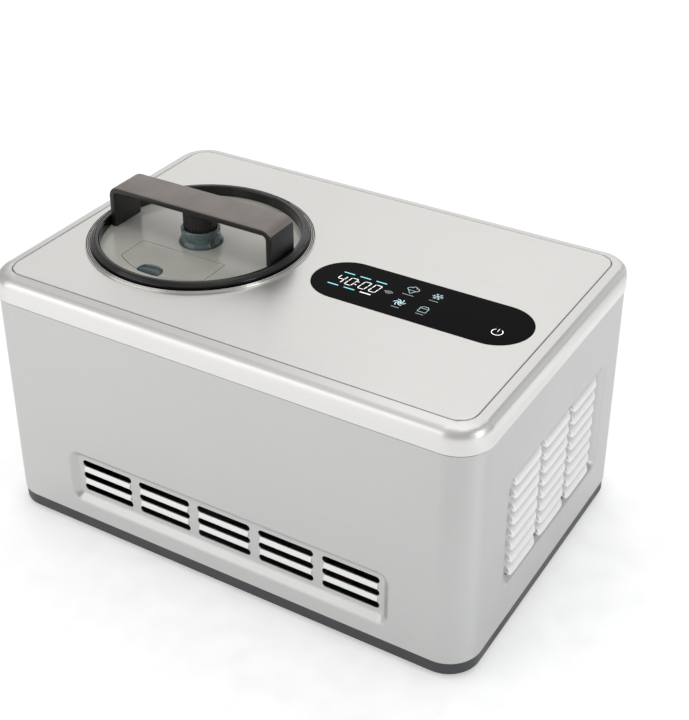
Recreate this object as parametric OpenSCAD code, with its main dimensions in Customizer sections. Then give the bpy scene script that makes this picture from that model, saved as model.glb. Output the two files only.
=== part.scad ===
// Ice cream maker with its own compressor and a removable two litre bowl.
// The origin lies on the table under the middle of the housing.
// X runs along the long front from left to right, Y from front to back, Z up.

/* [Housing] */
// Length of the top cover, left to right
body_w = 430; // [420:1:520]
// Depth of the top cover, front to back
body_d = 288; // [280:1:350]
// Height of the flat top panel above the table
deck_z = 222; // [215:1:270]
// Radius of the housing's upright corners
corner_r = 28; // [20:1:36]
// Sheet thickness of the steel wrap
sheet_t = 1; // [0.8:0.1:1.5]
// How far the top cover stands out over the wrap
cover_lip = 0.8; // [0.4:0.1:1.5]
// Height of the top cover from its lower edge to the panel
cover_h = 20; // [18:1:24]
// Sheet thickness of the top cover
cover_t = 1.2; // [1:0.1:1.6]
// Open seam between the wrap and the top cover
seam_gap = 1; // [0.6:0.1:2]
// Distance from the cover's edge to the groove round the flat panel
groove_in = 12.5; // [11:0.5:15]
// Width of the flange that carries the wrap on the base tray
flange_w = 12; // [10:1:16]

/* [Base and feet] */
// Height of a rubber foot
foot_h = 4; // [3:0.5:8]
// Radius of a rubber foot
foot_r = 11; // [8:0.5:14]
// Distance from the housing's sides to a foot's centre
foot_in = 34; // [30:1:50]
// Height of the base tray's upper edge
base_z = 15.4; // [14:0.2:20]
// Floor thickness of the base tray
tray_t = 4; // [3:0.5:5]
// Radius of the base screws
screw_r = 2; // [1.5:0.25:2.5]

/* [Front slots] */
// Number of slot groups in a row
slot_cols = 5; // [3:1:5]
// Number of rows of slots
slot_rows = 3; // [2:1:4]
// Length of one slot
slot_l = 49; // [40:1:50]
// Height of one slot
slot_h = 6; // [4:0.5:7]
// Distance between two groups, centre to centre
slot_pitch_x = 56.8; // [52:0.1:60]
// Distance between two rows, centre to centre
slot_pitch_z = 11.8; // [10:0.1:13]
// Height of the middle of the slots above the table
slot_z = 54; // [50:1:70]
// Sideways place of the slots' middle
slot_x = 3; // [0:1:5]
// Depth of the pressed vent recesses
recess_depth = 5; // [3:0.5:6]
// Width of the sloping wall round a vent recess
recess_slope = 6; // [4:0.5:8]

/* [Side louvres] */
// Number of louvre columns
louvre_cols = 3; // [2:1:3]
// Number of louvre rows
louvre_rows = 8; // [5:1:8]
// Length of one louvre
louvre_l = 42; // [38:0.5:44]
// Distance between two columns, centre to centre
louvre_pitch_y = 52.5; // [48:0.5:56]
// Distance between two rows, centre to centre
louvre_pitch_z = 12; // [10:0.5:13]
// How far a louvre hood stands out of the recess
louvre_out = 3.4; // [3:0.1:4.5]
// Height of the middle of the louvres above the table
louvre_z = 98; // [90:1:110]
// Distance of the louvres' middle behind the housing's middle
louvre_y = 5; // [0:1:10]

/* [Bowl and well] */
// Distance of the bowl's axis from the left side of the cover
well_from_left = 113; // [110:1:120]
// Distance of the bowl's axis and the control window in front of the middle
row_front = 8; // [0:1:10]
// Inner radius of the bowl
bowl_r = 72; // [60:0.5:72]
// Depth of the bowl under its rim
bowl_depth = 137; // [110:1:140]
// Wall of the bowl
bowl_t = 1; // [0.8:0.1:1.5]
// Gap between the bowl and the evaporator well
bowl_gap = 0.6; // [0.4:0.1:1]
// Wall of the evaporator well
well_t = 1.5; // [1:0.1:2]
// Depth of the bowl's rim under the top panel
rim_drop = 12.5; // [12:0.5:16]
// Radius of the evaporator tube
coil_r = 4; // [3:0.5:4]
// Turns of the evaporator tube
coil_turns = 7; // [4:1:7]
// Outer radius of the insulating foam
foam_r = 100; // [96:1:104]

/* [Lid] */
// Inner radius of the black lid rim
rim_in_r = 81.5; // [80:0.5:82]
// Outer radius of the black lid rim
rim_out_r = 88.5; // [88:0.5:89]
// Height of the lid rim above the top panel
rim_rise = 6; // [4:0.5:8]
// Depth of the disc's underside under the top panel
disc_drop = 6; // [4:0.5:6]
// Thickness of the clear disc
disc_t = 3; // [2.5:0.1:3.5]
// Height of the handle's top above the top panel
handle_rise = 33; // [28:1:40]
// Width of the handle band
handle_w = 33; // [24:1:36]
// Thickness of the handle band
handle_t = 5.5; // [4:0.5:7]
// Radius of the handle's outer bends
handle_bend = 9; // [7:0.5:12]
// Radius of the round post under the handle
post_r = 14.3; // [12:0.1:15]
// Half of the filling flap's length
flap_half = 40; // [30:1:42]
// Radius of the filling flap's curved edge about the bowl's axis
flap_r = 66; // [60:1:68]
// Distance of the flap's hinge edge in front of the bowl's axis
flap_hinge = 24.5; // [22:0.5:30]
// Gap round the flap
flap_gap = 0.6; // [0.4:0.1:1]

/* [Drive] */
// Module of the gear teeth
gear_m = 1.5; // [1.5:0.1:1.6]
// Teeth of the two pinions
pinion_n = 12; // [12:1:14]
// Teeth of the output gear
output_n = 72; // [66:1:72]
// Teeth of the idler's large gear
idler_n = 60; // [56:1:60]
// Direction from the bowl's axis to the idler and the motor
train_angle = -30; // [-36:1:-26]
// Radius of the drive shaft
shaft_r = 6; // [5:0.5:7]
// Radial clearance of a shaft in its bushing
run_gap = 0.05; // [0.02:0.01:0.1]
// Side of the drive shaft's square end
drive_sq = 8; // [6:0.5:8.4]
// Radius of the paddle's upper pin
pin_r = 6; // [5:0.5:7]
// Radius of the stirring motor
motor_r = 24; // [20:1:24]

/* [Control window] */
// Length of the glass, with its round ends
glass_l = 183; // [160:1:184]
// Width of the glass
glass_w = 57; // [46:1:60]
// Distance from the glass to the right side of the cover
glass_from_right = 24; // [20:1:30]
// Thickness of the glass
glass_t = 2; // [1.5:0.1:3]

/* [Cooling] */
// Radius of the compressor shell
comp_r = 58; // [52:1:58]
// Height of the compressor shell
comp_h = 140; // [120:1:142]
// Distance from the compressor's axis to the right side
comp_from_right = 131; // [129:1:134]
// Distance from the compressor's axis to the back
comp_from_back = 89; // [84:1:92]
// Size of the square fan frame
fan_size = 112; // [100:1:116]
// Thickness of the fan frame
fan_t = 25; // [20:1:25]
// Number of fan blades
fan_blades = 7; // [5:1:9]
// Rows of the condenser tube
cond_rows = 6; // [4:1:6]
// Distance between two tube rows
cond_pitch = 18; // [16:0.5:18]
// Radius of the condenser tube
cond_tube_r = 3.5; // [2.5:0.25:3.5]
// Number of condenser fins
fin_count = 26; // [12:1:34]
// Radius of the refrigerant lines
line_r = 3; // [2:0.25:3.5]

/* [Hidden] */
$fn = 96;

// ---- plan positions ----
wrap_w = body_w - 2 * cover_lip;
wrap_d = body_d - 2 * cover_lip;
wrap_r = corner_r - cover_lip;
in_w = wrap_w - 2 * sheet_t;
in_d = wrap_d - 2 * sheet_t;
in_r = wrap_r - sheet_t;
right_x = body_w / 2;
back_y = body_d / 2;
well_x = well_from_left - body_w / 2;
well_y = -row_front;
comp_x = right_x - comp_from_right;
comp_y = back_y - comp_from_back;

// ---- heights from the table up ----
floor_z = foot_h + tray_t;
wrap_top = deck_z - cover_h - seam_gap;
cover_z = deck_z - cover_h;

// ---- the well hangs from the top ----
rim_z = deck_z - rim_drop;
rim_t = 1.5;
well_top = rim_z - rim_t;
bowl_floor = rim_z - bowl_depth;
well_r = bowl_r + bowl_t + bowl_gap;
well_out = well_r + well_t;
well_floor = bowl_floor - bowl_t - 0.5;
coil_mid = well_out + coil_r;
collar_r = rim_in_r + 2.9;
collar_t = 3.1;
collar_rise = 0.8;
trim_w = 3.8;
skirt_r = rim_in_r + 2.5;
disc_z = deck_z - disc_drop;
disc_top = disc_z + disc_t;
handle_top = deck_z + handle_rise;
gasket_t = 2;

// ---- the gear train ----
case_z = floor_z + 6;
case_t = 3;
case_floor = case_z + case_t;
case_top = 44;
lid_t = 3;
head_h = 1.8;
gear_z = 22;
gear_t = 9;
idler_z = 33.5;
idler_t = 8;
output_r = gear_m * output_n / 2;
idler_r = gear_m * idler_n / 2;
pinion_pitch_r = gear_m * pinion_n / 2;
tooth_top = 0.9 * gear_m;
tooth_root = 1.25 * gear_m;
backlash = 0.4;
idler_dist = output_r + pinion_pitch_r;
motor_dist = idler_dist + idler_r + pinion_pitch_r;
idler_x = well_x + idler_dist * cos(train_angle);
idler_y = well_y + idler_dist * sin(train_angle);
motor_x = well_x + motor_dist * cos(train_angle);
motor_y = well_y + motor_dist * sin(train_angle);
idler_pin_r = 3;
motor_shaft_r = 2.5;
motor_h = 68;
motor_z = case_top + lid_t;
bush_r = shaft_r + 3;
foam_floor = motor_z;
tube_r = shaft_r + 2;
tube_top = bowl_floor + 60;
sq_z = tube_top + 2;
sq_h = 16;
fit_gap = 0.2;

// ---- cooling, from the right side inwards ----
grommet_r = 9;
cond_x = right_x - 24;
cond_t = 24;
fan_x = right_x - 53.5;
fan_y = louvre_y;
fan_z = louvre_z;
duct_r = fan_size / 2 - 3;
fan_hub_r = 20;
fan_tip_r = duct_r - 1.5;
fan_shaft_r = 2;
shroud_t = 1.5;
shroud_x = fan_x + fan_t / 2;
cond_half = 92;
fin_half = 85;
fin_h = cond_rows * cond_pitch + 4;
comp_foot_x = 0.775 * (comp_r + grommet_r + 3);
comp_foot_y = 0.65 * (comp_r + grommet_r + 3);
plate_z = 20;
plate_t = 3;
shell_z = plate_z + plate_t;

// ---- control window ----
glass_x = right_x - glass_from_right - glass_l / 2;
glass_y = -row_front;
glass_gap = 0.3;

// ---- power board ----
board_x = right_x - 123;
board_y = -back_y + 56;
board_w = 116;
board_d = 78;
board_z = floor_z + 12;
board_t = 1.6;

// ---- rear panel ----
rear_w = 230;
rear_x = right_x - corner_r - 14 - rear_w / 2;
rear_z = 104;
rear_h = 130;
rear_t = 1.2;
inlet_x = rear_x - 86;
inlet_z = 66;
inlet_w = 28;
inlet_h = 20;

function rivet_points(w, d) = [for (x = [-1, 0, 1], y = [-1, 1]) [x * w / 2, y * d / 2]];
base_points = rivet_points(wrap_w - 2 * corner_r - 60, wrap_d - flange_w - 2 * sheet_t);
frame_points = rivet_points(body_w - 2 * corner_r - 60, in_d - 28);
rear_points = [for (x = [-1, 0, 1], z = [-1, 1])
  [rear_x + x * (rear_w / 2 + 6), rear_z + z * (rear_h / 2 + 6)]];
foot_points = [for (x = [-1, 1], y = [-1, 1]) [x * (body_w / 2 - foot_in), y * (body_d / 2 - foot_in)]];
comp_points = [for (x = [-1, 1], y = [-1, 1]) [comp_x + x * comp_foot_x, comp_y + y * comp_foot_y]];
board_points = [for (x = [-1, 1], y = [-1, 1])
  [board_x + x * (board_w / 2 - 5), board_y + y * (board_d / 2 - 5)]];
fan_points = [for (y = [-1, 1], z = [-1, 1])
  [fan_y + y * (fan_size / 2 - 7), fan_z + z * (fan_size / 2 - 7)]];
foam_posts = [for (a = [20, 100, 180, 240]) [well_x + 82 * cos(a), well_y + 82 * sin(a)]];
case_points = [for (a = [40, 130, 215]) [well_x + (output_r + 9) * cos(a), well_y + (output_r + 9) * sin(a)]];
tube_rows = [for (i = [0 : cond_rows - 1]) louvre_z + (i - (cond_rows - 1) / 2) * cond_pitch];
coil_z = [for (i = [0 : coil_turns - 1])
  well_floor + 14 + i * (well_top - well_floor - 34) / (coil_turns - 1)];
in_angle = 20;
stub_y = comp_y + 16;
turn_x = comp_x - comp_r - 16;
out_angle = atan2(stub_y - well_y, turn_x - well_x);

// ---- basic shapes ----
module rounded(w, d, r, h) {
  linear_extrude(h) rounded_2d(w, d, r);
}

module rounded_2d(w, d, r) {
  square([w - 2 * r, d], center = true);
  square([w, d - 2 * r], center = true);
  for (x = [-1, 1], y = [-1, 1])
    translate([x * (w / 2 - r), y * (d / 2 - r)]) circle(r);
}

// A rounded block whose corner radius goes from r1 below to r2 on top
module rounded_taper(core_w, core_d, r1, r2, h) {
  translate([0, core_d / 2, 0]) rotate([90, 0, 0]) linear_extrude(core_d)
    polygon([[-core_w / 2 - r1, 0], [core_w / 2 + r1, 0], [core_w / 2 + r2, h], [-core_w / 2 - r2, h]]);
  translate([-core_w / 2, 0, 0]) rotate([90, 0, 90]) linear_extrude(core_w)
    polygon([[-core_d / 2 - r1, 0], [core_d / 2 + r1, 0], [core_d / 2 + r2, h], [-core_d / 2 - r2, h]]);
  for (x = [-1, 1], y = [-1, 1])
    translate([x * core_w / 2, y * core_d / 2, 0]) cylinder(h, r1, r2);
}

module ring(r_in, r_out, h) {
  difference() {
    cylinder(h, r = r_out);
    translate([0, 0, -1]) cylinder(h + 2, r = r_in);
  }
}

// A round bar from point a to point b
module bar(a, b, r) {
  d = b - a;
  len = norm(d);
  translate(a) rotate([0, acos(d[2] / len), atan2(d[1], d[0])]) cylinder(len, r = r);
}

// A bent tube along points, with a slightly fuller ball at each inner bend
module tube_run(points, r) {
  last = len(points) - 1;
  for (i = [0 : last - 1]) bar(points[i], points[i + 1], r);
  for (i = [1 : last - 1]) translate(points[i]) sphere(r + 0.15);
}

module at_well() {
  translate([well_x, well_y, 0]) children();
}

function polar(r, a) = [r * cos(a), r * sin(a)];
function involute(a) = tan(a) * 180 / PI - a;
function half_angle(r, pitch_r, base_r, n) =
  90 / n - backlash / (2 * pitch_r) * 90 / PI + involute(20)
  - (r > base_r ? involute(acos(base_r / r)) : 0);

// Outline of an involute gear with a tooth at angle 0
module gear_2d(n) {
  pitch_r = gear_m * n / 2;
  base_r = pitch_r * cos(20);
  top_r = pitch_r + tooth_top;
  root_r = pitch_r - tooth_root;
  low_r = max(base_r, root_r + 0.2);
  radii = [root_r, low_r, (low_r + pitch_r) / 2 + 0.1, (pitch_r + top_r) / 2, top_r];
  polygon([for (i = [0 : n - 1]) each concat(
    [for (r = radii) polar(r, 360 * i / n - half_angle(r, pitch_r, base_r, n))],
    [for (k = [4 : -1 : 0]) polar(radii[k], 360 * i / n + half_angle(radii[k], pitch_r, base_r, n))])]);
}

// ---- base ----
module base_tray() {
  color("#46484c") difference() {
    union() {
      translate([0, 0, foot_h]) rounded(wrap_w - 1.6, wrap_d - 1.6, wrap_r - 0.8, base_z - foot_h);
      for (p = foam_posts) translate([p[0], p[1], floor_z - 1]) cylinder(foam_floor - floor_z + 1, r = 7);
      for (p = board_points) translate([p[0], p[1], floor_z - 1]) cylinder(board_z - floor_z + 1, r = 4);
    }
    difference() {
      translate([0, 0, floor_z])
        rounded(wrap_w - 2 * flange_w - 2, wrap_d - 2 * flange_w - 2, wrap_r - flange_w, base_z);
      for (p = foam_posts) translate([p[0], p[1], 0]) cylinder(foam_floor, r = 7);
      for (p = concat(case_points, [[motor_x, motor_y]]))
        translate([p[0], p[1], 0]) cylinder(case_z, r = 6);
      for (p = board_points) translate([p[0], p[1], 0]) cylinder(board_z, r = 4);
    }
    for (p = foot_points) translate([p[0], p[1], 0]) cylinder(foot_h + 3, r = 4);
    for (p = base_points) translate([p[0], p[1], 0]) {
      cylinder(base_z + 1, r = screw_r);
      cylinder(foot_h + 2.5, r = 2 * screw_r + 0.2);
    }
  }
}

module feet() {
  color("#2b2b2d") for (p = foot_points) translate([p[0], p[1], 0]) {
    cylinder(1, foot_r - 1, foot_r);
    translate([0, 0, 1]) cylinder(foot_h - 1, r = foot_r);
    cylinder(foot_h + 3, r = 4);
  }
}

module base_screws() {
  color("#b8bbbd") for (p = base_points) translate([p[0], p[1], foot_h + 0.5]) {
    difference() {
      union() {
        cylinder(2, r = 2 * screw_r);
        cylinder(base_z + sheet_t + 3 - foot_h - 0.5, r = screw_r);
      }
      translate([-3, -0.4, -1]) cube([6, 0.8, 1.8]);
    }
  }
}

// ---- steel wrap ----
slot_span = (slot_cols - 1) * slot_pitch_x + slot_l;
front_core_w = slot_span;
front_core_h = (slot_rows - 1) * slot_pitch_z + slot_h;
front_floor_r = 4;
side_core_w = (louvre_cols - 1) * louvre_pitch_y + louvre_l + 10;
side_core_h = (louvre_rows - 1) * louvre_pitch_z - 4;
side_floor_r = 5;

// The pressed pocket of a vent field; wall is 0 for its open side and the sheet for its metal side
module vent_pocket(core_w, core_h, floor_r, wall) {
  depth = recess_depth + wall;
  translate([0, 0, -depth])
    rounded_taper(core_w, core_h, floor_r + wall,
      floor_r + wall + recess_slope * depth / recess_depth, depth);
}

module on_front() {
  translate([slot_x, -wrap_d / 2, slot_z]) rotate([90, 0, 0]) children();
}

module on_right() {
  translate([wrap_w / 2, louvre_y, louvre_z]) rotate([90, 0, 90]) children();
}

module louvre_places() {
  for (i = [0 : louvre_cols - 1], j = [0 : louvre_rows - 1])
    translate([(i - (louvre_cols - 1) / 2) * louvre_pitch_y, (j - (louvre_rows - 1) / 2) * louvre_pitch_z, 0])
      children();
}

// Height and rise of a hood's outer face, from its foot to its lip
louvre_line = [[4, -0.2], [2.4, 0.6 * louvre_out], [0, 0.86 * louvre_out], [-2.6, louvre_out]];

// A hood that slopes out and down and is open below
module louvre_hood() {
  translate([-louvre_l / 2, 0, -recess_depth]) rotate([90, 0, 90]) linear_extrude(louvre_l)
    polygon(concat(louvre_line, [[-2.6, louvre_out - sheet_t], [-0.2, 0.86 * louvre_out - sheet_t],
                                 [1.4, 0.6 * louvre_out - sheet_t], [2.2, -0.2]]));
  for (x = [-louvre_l / 2, louvre_l / 2 - sheet_t])
    translate([x, 0, -recess_depth]) rotate([90, 0, 90]) linear_extrude(sheet_t)
      polygon(concat(louvre_line, [[-2.6, -0.2]]));
}

module housing_wrap() {
  color("#c3c6c5") difference() {
    union() {
      difference() {
        translate([0, 0, base_z]) rounded(wrap_w, wrap_d, wrap_r, wrap_top - base_z);
        translate([0, 0, base_z + sheet_t]) rounded(in_w, in_d, in_r, wrap_top);
        translate([0, 0, base_z - 1])
          rounded(in_w - 2 * flange_w, in_d - 2 * flange_w, in_r - flange_w, sheet_t + 2);
      }
      intersection() {
        union() {
          on_front() vent_pocket(front_core_w, front_core_h, front_floor_r, sheet_t);
          on_right() vent_pocket(side_core_w, side_core_h, side_floor_r, sheet_t);
        }
        translate([0, 0, base_z]) rounded(wrap_w - sheet_t, wrap_d - sheet_t, wrap_r, wrap_top - base_z);
      }
    }
    difference() {
      union() {
        on_front() vent_pocket(front_core_w, front_core_h, front_floor_r, 0);
        on_right() vent_pocket(side_core_w, side_core_h, side_floor_r, 0);
        on_right() louvre_places() translate([-louvre_l / 2 + sheet_t + 1, -2.4, -recess_depth - 3])
          cube([louvre_l - 2 * sheet_t - 2, 4, 3.5]);
      }
      on_right() louvre_places() louvre_hood();
    }
    on_front() for (i = [0 : slot_cols - 1], j = [0 : slot_rows - 1])
      translate([(i - (slot_cols - 1) / 2) * slot_pitch_x, (j - (slot_rows - 1) / 2) * slot_pitch_z,
                 -recess_depth - 3]) rounded(slot_l, slot_h, slot_h / 2 - 0.01, 5);
    translate([rear_x, wrap_d / 2 + 5, rear_z]) rotate([90, 0, 0]) rounded(rear_w, rear_h, 8, 10);
    for (p = base_points) translate([p[0], p[1], base_z - 1]) cylinder(4, r = screw_r);
    for (p = rear_points) translate([p[0], wrap_d / 2 + 1, p[1]]) rotate([90, 0, 0]) cylinder(5, r = 1.5);
  }
}

// ---- back ----
module rear_panel() {
  color("#34363a") difference() {
    translate([rear_x, in_d / 2, rear_z]) rotate([90, 0, 0]) rounded(rear_w + 24, rear_h + 24, 6, rear_t);
    for (p = rear_points) translate([p[0], wrap_d / 2, p[1]]) rotate([90, 0, 0]) cylinder(8, r = 1.5);
    translate([inlet_x, in_d / 2 + 1, inlet_z]) rotate([90, 0, 0]) rounded(inlet_w, inlet_h, 3, 6);
    for (i = [0 : 12], j = [0, 1]) translate([rear_x - 42 + i * 12, in_d / 2 + 1, rear_z - 26 + j * 52])
      rotate([90, 0, 0]) rounded(5, 42, 2.49, 6);
  }
}

module rear_screws() {
  color("#9a9da0") for (p = rear_points) translate([p[0], wrap_d / 2, p[1]]) rotate([-90, 0, 0]) {
    difference() {
      cylinder(cover_lip, 3, 2.4);
      for (a = [0, 90]) rotate(a) translate([-1.6, -0.35, cover_lip / 2]) cube([3.2, 0.7, 2]);
    }
    translate([0, 0, -5]) cylinder(5, r = 1.5);
  }
}

// Appliance socket with three flat pins
module mains_inlet() {
  color("#202124") translate([inlet_x, in_d / 2, inlet_z]) rotate([90, 0, 0]) {
    difference() {
      union() {
        translate([0, 0, -rear_t]) rounded(inlet_w + 5, inlet_h + 4, 3, rear_t);
        rounded(inlet_w, inlet_h, 3, 24);
      }
      translate([0, 0, -rear_t - 1]) rounded(24.4, 16.2, 2.5, 18);
    }
    for (x = [-7, 0, 7]) translate([x, x == 0 ? 2 : -1.5, 8]) cube([2, 4, 17], center = true);
    for (x = [-7, 0, 7]) translate([x, 0, 27]) cube([0.8, 6.3, 7], center = true);
  }
}

// ---- top ----
module top_frame() {
  frame_w = 6;
  color("#26272a") difference() {
    union() {
      translate([0, 0, wrap_top - 12]) rounded(in_w, in_d, in_r, 12);
      translate([0, 0, wrap_top])
        rounded(wrap_w - 1, wrap_d - 1, wrap_r - 0.5, seam_gap);
      translate([0, 0, cover_z])
        rounded(body_w - 2 * cover_t, body_d - 2 * cover_t, corner_r - cover_t, 6);
    }
    difference() {
      translate([0, 0, wrap_top - 13])
        rounded(in_w - 2 * frame_w, in_d - 2 * frame_w, in_r - frame_w, 60);
      for (p = frame_points) translate([p[0], p[1], cover_z + 1]) translate([-6, -14, 0]) cube([12, 28, 5]);
    }
    for (p = frame_points) translate([p[0], p[1], 0]) cylinder(deck_z, r = screw_r);
  }
}

// Heights and insets of the cover's edge, from its lower edge to the groove
cover_edge = [[0, 0], [0.5, 0], [0.75, 1], [0.87, 3.2], [0.94, 6], [1, groove_in]];

module cover_shell(shrink) {
  for (i = [0 : len(cover_edge) - 2]) {
    low = cover_edge[i];
    high = cover_edge[i + 1];
    translate([0, 0, cover_z + low[0] * cover_h - shrink])
      rounded_taper(body_w - 2 * corner_r, body_d - 2 * corner_r,
        corner_r - low[1] - shrink, corner_r - high[1] - shrink, (high[0] - low[0]) * cover_h);
  }
}

module top_cover() {
  groove_w = 1.2;
  color("#d6d6d2") difference() {
    union() {
      difference() {
        cover_shell(0);
        cover_shell(cover_t);
        translate([0, 0, cover_z - 1])
          rounded(body_w - 2 * cover_t, body_d - 2 * cover_t, corner_r - cover_t, 7);
      }
      for (p = frame_points) translate([p[0], p[1], cover_z - 5]) cylinder(cover_h + 4, r = screw_r);
    }
    difference() {
      translate([0, 0, deck_z - 0.6])
        rounded(body_w - 2 * groove_in, body_d - 2 * groove_in, corner_r - groove_in, 2);
      translate([0, 0, deck_z - 1]) rounded(body_w - 2 * groove_in - 2 * groove_w,
        body_d - 2 * groove_in - 2 * groove_w, corner_r - groove_in - groove_w, 3);
    }
    at_well() cylinder(deck_z + 5, r = collar_r + collar_t);
    translate([glass_x, glass_y, deck_z - 10])
      rounded(glass_l + 2 * glass_gap, glass_w + 2 * glass_gap, glass_w / 2 + glass_gap - 0.01, 20);
  }
}

module cover_nuts() {
  color("#a9acae") for (p = frame_points) translate([p[0], p[1], cover_z - 2.2]) difference() {
    cylinder(3.2, r = 4, $fn = 6);
    translate([0, 0, -1]) cylinder(6, r = screw_r);
  }
}

module trim_ring() {
  color("#8e8f8e") at_well() translate([0, 0, deck_z]) rotate_extrude()
    translate([rim_out_r + 0.8, 0]) polygon([[0, 0], [0, 0.9], [0.8, 1.5], [1.6, 1.1], [2.2, 1.1],
      [3, 1.5], [trim_w, 0.9], [trim_w, 0]]);
}

module well_collar() {
  color("#1d1e20") at_well() {
    translate([0, 0, well_top]) ring(collar_r, collar_r + collar_t, deck_z - well_top);
    translate([0, 0, deck_z]) ring(collar_r, rim_out_r + 0.8, collar_rise);
  }
}

// ---- control window ----
module control_glass() {
  color("#0a0b0d") translate([glass_x, glass_y, deck_z - glass_t + 0.3])
    rounded(glass_l, glass_w, glass_w / 2 - 0.01, glass_t);
}

module control_tray() {
  tray_z = deck_z - glass_t + 0.3;
  color("#1b1c1f") translate([glass_x, glass_y, 0]) difference() {
    union() {
      translate([0, 0, deck_z - cover_t - 1.6]) rounded(glass_l + 14, glass_w + 14, 8, 1.6);
      translate([0, 0, tray_z - 9]) rounded(glass_l - 4, glass_w - 4, 8, 9);
    }
    translate([0, 0, tray_z]) rounded(glass_l + 2 * glass_gap, glass_w + 2 * glass_gap, glass_w / 2, 9);
    translate([0, 0, tray_z - 10]) rounded(glass_l - 10, glass_w - 10, 6, 8.5);
  }
}

module control_board() {
  color("#1f5a3a") translate([glass_x, glass_y, deck_z - glass_t + 0.3 - 1.5 - board_t])
    rounded(glass_l - 10, glass_w - 10, 6, board_t);
  color("#e8e8e4") translate([glass_x, glass_y, deck_z - glass_t + 0.3 - 1.5 - board_t]) {
    translate([-58, -12, -3]) cube([44, 24, 3]);
    translate([40, -14, -5]) cube([20, 8, 5]);
  }
}

// ---- evaporator ----
module evaporator_well() {
  color("#b9bcbe") at_well() difference() {
    union() {
      translate([0, 0, well_floor - well_t]) cylinder(well_top - well_floor, r = well_out);
      translate([0, 0, well_top - rim_t]) cylinder(rim_t, r = collar_r + collar_t);
    }
    translate([0, 0, well_floor]) cylinder(well_top, r = well_r);
    cylinder(well_top, r = bush_r + 3);
  }
}

module evaporator_coil() {
  color("#b4703f") at_well() {
    for (z = coil_z) translate([0, 0, z]) rotate_extrude() translate([coil_mid, 0]) circle(coil_r, $fn = 24);
    for (a = [200, 212]) rotate(a) translate([coil_mid, 0, coil_z[0]])
      cylinder(coil_z[coil_turns - 1] - coil_z[0], r = coil_r - 0.5);
    rotate(out_angle)
      bar([coil_mid, 0, coil_z[coil_turns - 1]], [foam_r + 4, 0, coil_z[coil_turns - 1]], coil_r);
    rotate(in_angle) bar([coil_mid, 0, coil_z[1]], [foam_r + 4, 0, coil_z[1]], coil_r);
  }
}

module well_foam() {
  color("#e6dfc8") difference() {
    at_well() difference() {
      translate([0, 0, foam_floor]) cylinder(well_top - rim_t - foam_floor, r = foam_r);
      translate([0, 0, well_floor - well_t]) cylinder(deck_z, r = coil_mid + coil_r);
      cylinder(deck_z, r = bush_r + 7);
      rotate(out_angle)
        bar([coil_mid, 0, coil_z[coil_turns - 1]], [foam_r + 9, 0, coil_z[coil_turns - 1]], coil_r);
      rotate(in_angle) bar([coil_mid, 0, coil_z[1]], [foam_r + 9, 0, coil_z[1]], coil_r);
    }
    translate([motor_x, motor_y, 0]) cylinder(motor_z + motor_h + 4, r = motor_r + 1);
  }
}

// Lip seal with its cup, under the well's floor
module shaft_seal() {
  color("#303236") at_well() {
    translate([0, 0, foam_floor + 8]) ring(shaft_r + run_gap, bush_r + 7, 3);
    translate([0, 0, foam_floor + 8]) ring(bush_r + 3, bush_r + 7, well_floor - well_t - foam_floor - 8);
    translate([0, 0, foam_floor + 8]) ring(shaft_r + run_gap, bush_r + 3, well_floor - foam_floor - 8);
  }
}

// ---- gearbox ----
module case_plan(grow) {
  translate([well_x, well_y]) circle(output_r + 4 + grow);
  translate([idler_x, idler_y]) circle(idler_r + 3.5 + grow);
  translate([well_x, well_y]) rotate(train_angle)
    translate([idler_dist, -15 - grow]) square([motor_dist - idler_dist, 30 + 2 * grow]);
  translate([motor_x, motor_y]) circle(15 + grow);
}

module gearbox_case() {
  wall = 2.5;
  color("#55585c") difference() {
    union() {
      translate([0, 0, case_z]) linear_extrude(case_top - case_z) case_plan(wall);
      for (p = case_points) translate([p[0], p[1], case_z]) cylinder(case_top - case_z, r = 5);
    }
    difference() {
      translate([0, 0, case_floor]) linear_extrude(case_top) case_plan(0);
      for (p = case_points) translate([p[0], p[1], case_z]) cylinder(case_top, r = 5);
      at_well() cylinder(case_floor + 3, r = bush_r + 2.5);
      translate([idler_x, idler_y, 0]) cylinder(case_floor + 2, r = idler_pin_r + 3);
    }
    at_well() translate([0, 0, case_z + 1]) cylinder(case_top, r = bush_r);
    translate([idler_x, idler_y, case_z + 1]) cylinder(case_top, r = idler_pin_r);
    for (p = case_points) translate([p[0], p[1], case_floor + 6]) cylinder(case_top, r = 1.5);
  }
}

module gearbox_cover() {
  color("#63666a") difference() {
    union() {
      translate([0, 0, case_top]) linear_extrude(lid_t) case_plan(2.5);
      for (p = case_points) translate([p[0], p[1], case_top]) cylinder(lid_t, r = 5);
      at_well() cylinder(foam_floor + 6, r = bush_r + 3);
    }
    at_well() cylinder(case_top, r = bush_r + 5);
    at_well() cylinder(foam_floor + 20, r = bush_r);
    translate([idler_x, idler_y, case_top - 1]) cylinder(3, r = idler_pin_r);
    translate([motor_x, motor_y, 0]) cylinder(motor_z + 5, r = pinion_pitch_r + 4);
    for (p = case_points) {
      translate([p[0], p[1], case_top - 1]) cylinder(lid_t + 5, r = 1.5);
      translate([p[0], p[1], case_top + lid_t - head_h]) cylinder(lid_t, r = 2.9);
    }
  }
}

module gearbox_screws() {
  color("#b8bbbd") for (p = case_points) translate([p[0], p[1], 0]) {
    translate([0, 0, case_floor + 8]) cylinder(case_top + lid_t - head_h - case_floor - 8, r = 1.5);
    translate([0, 0, case_top + lid_t - head_h]) cylinder(head_h, r = 2.9);
  }
}

module shaft_bushings() {
  color("#b08d4a") at_well() {
    translate([0, 0, case_z + 1]) ring(shaft_r + run_gap, bush_r, case_floor + 2 - case_z);
    translate([0, 0, case_top]) ring(shaft_r + run_gap, bush_r, foam_floor + 6 - case_top);
  }
}

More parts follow.
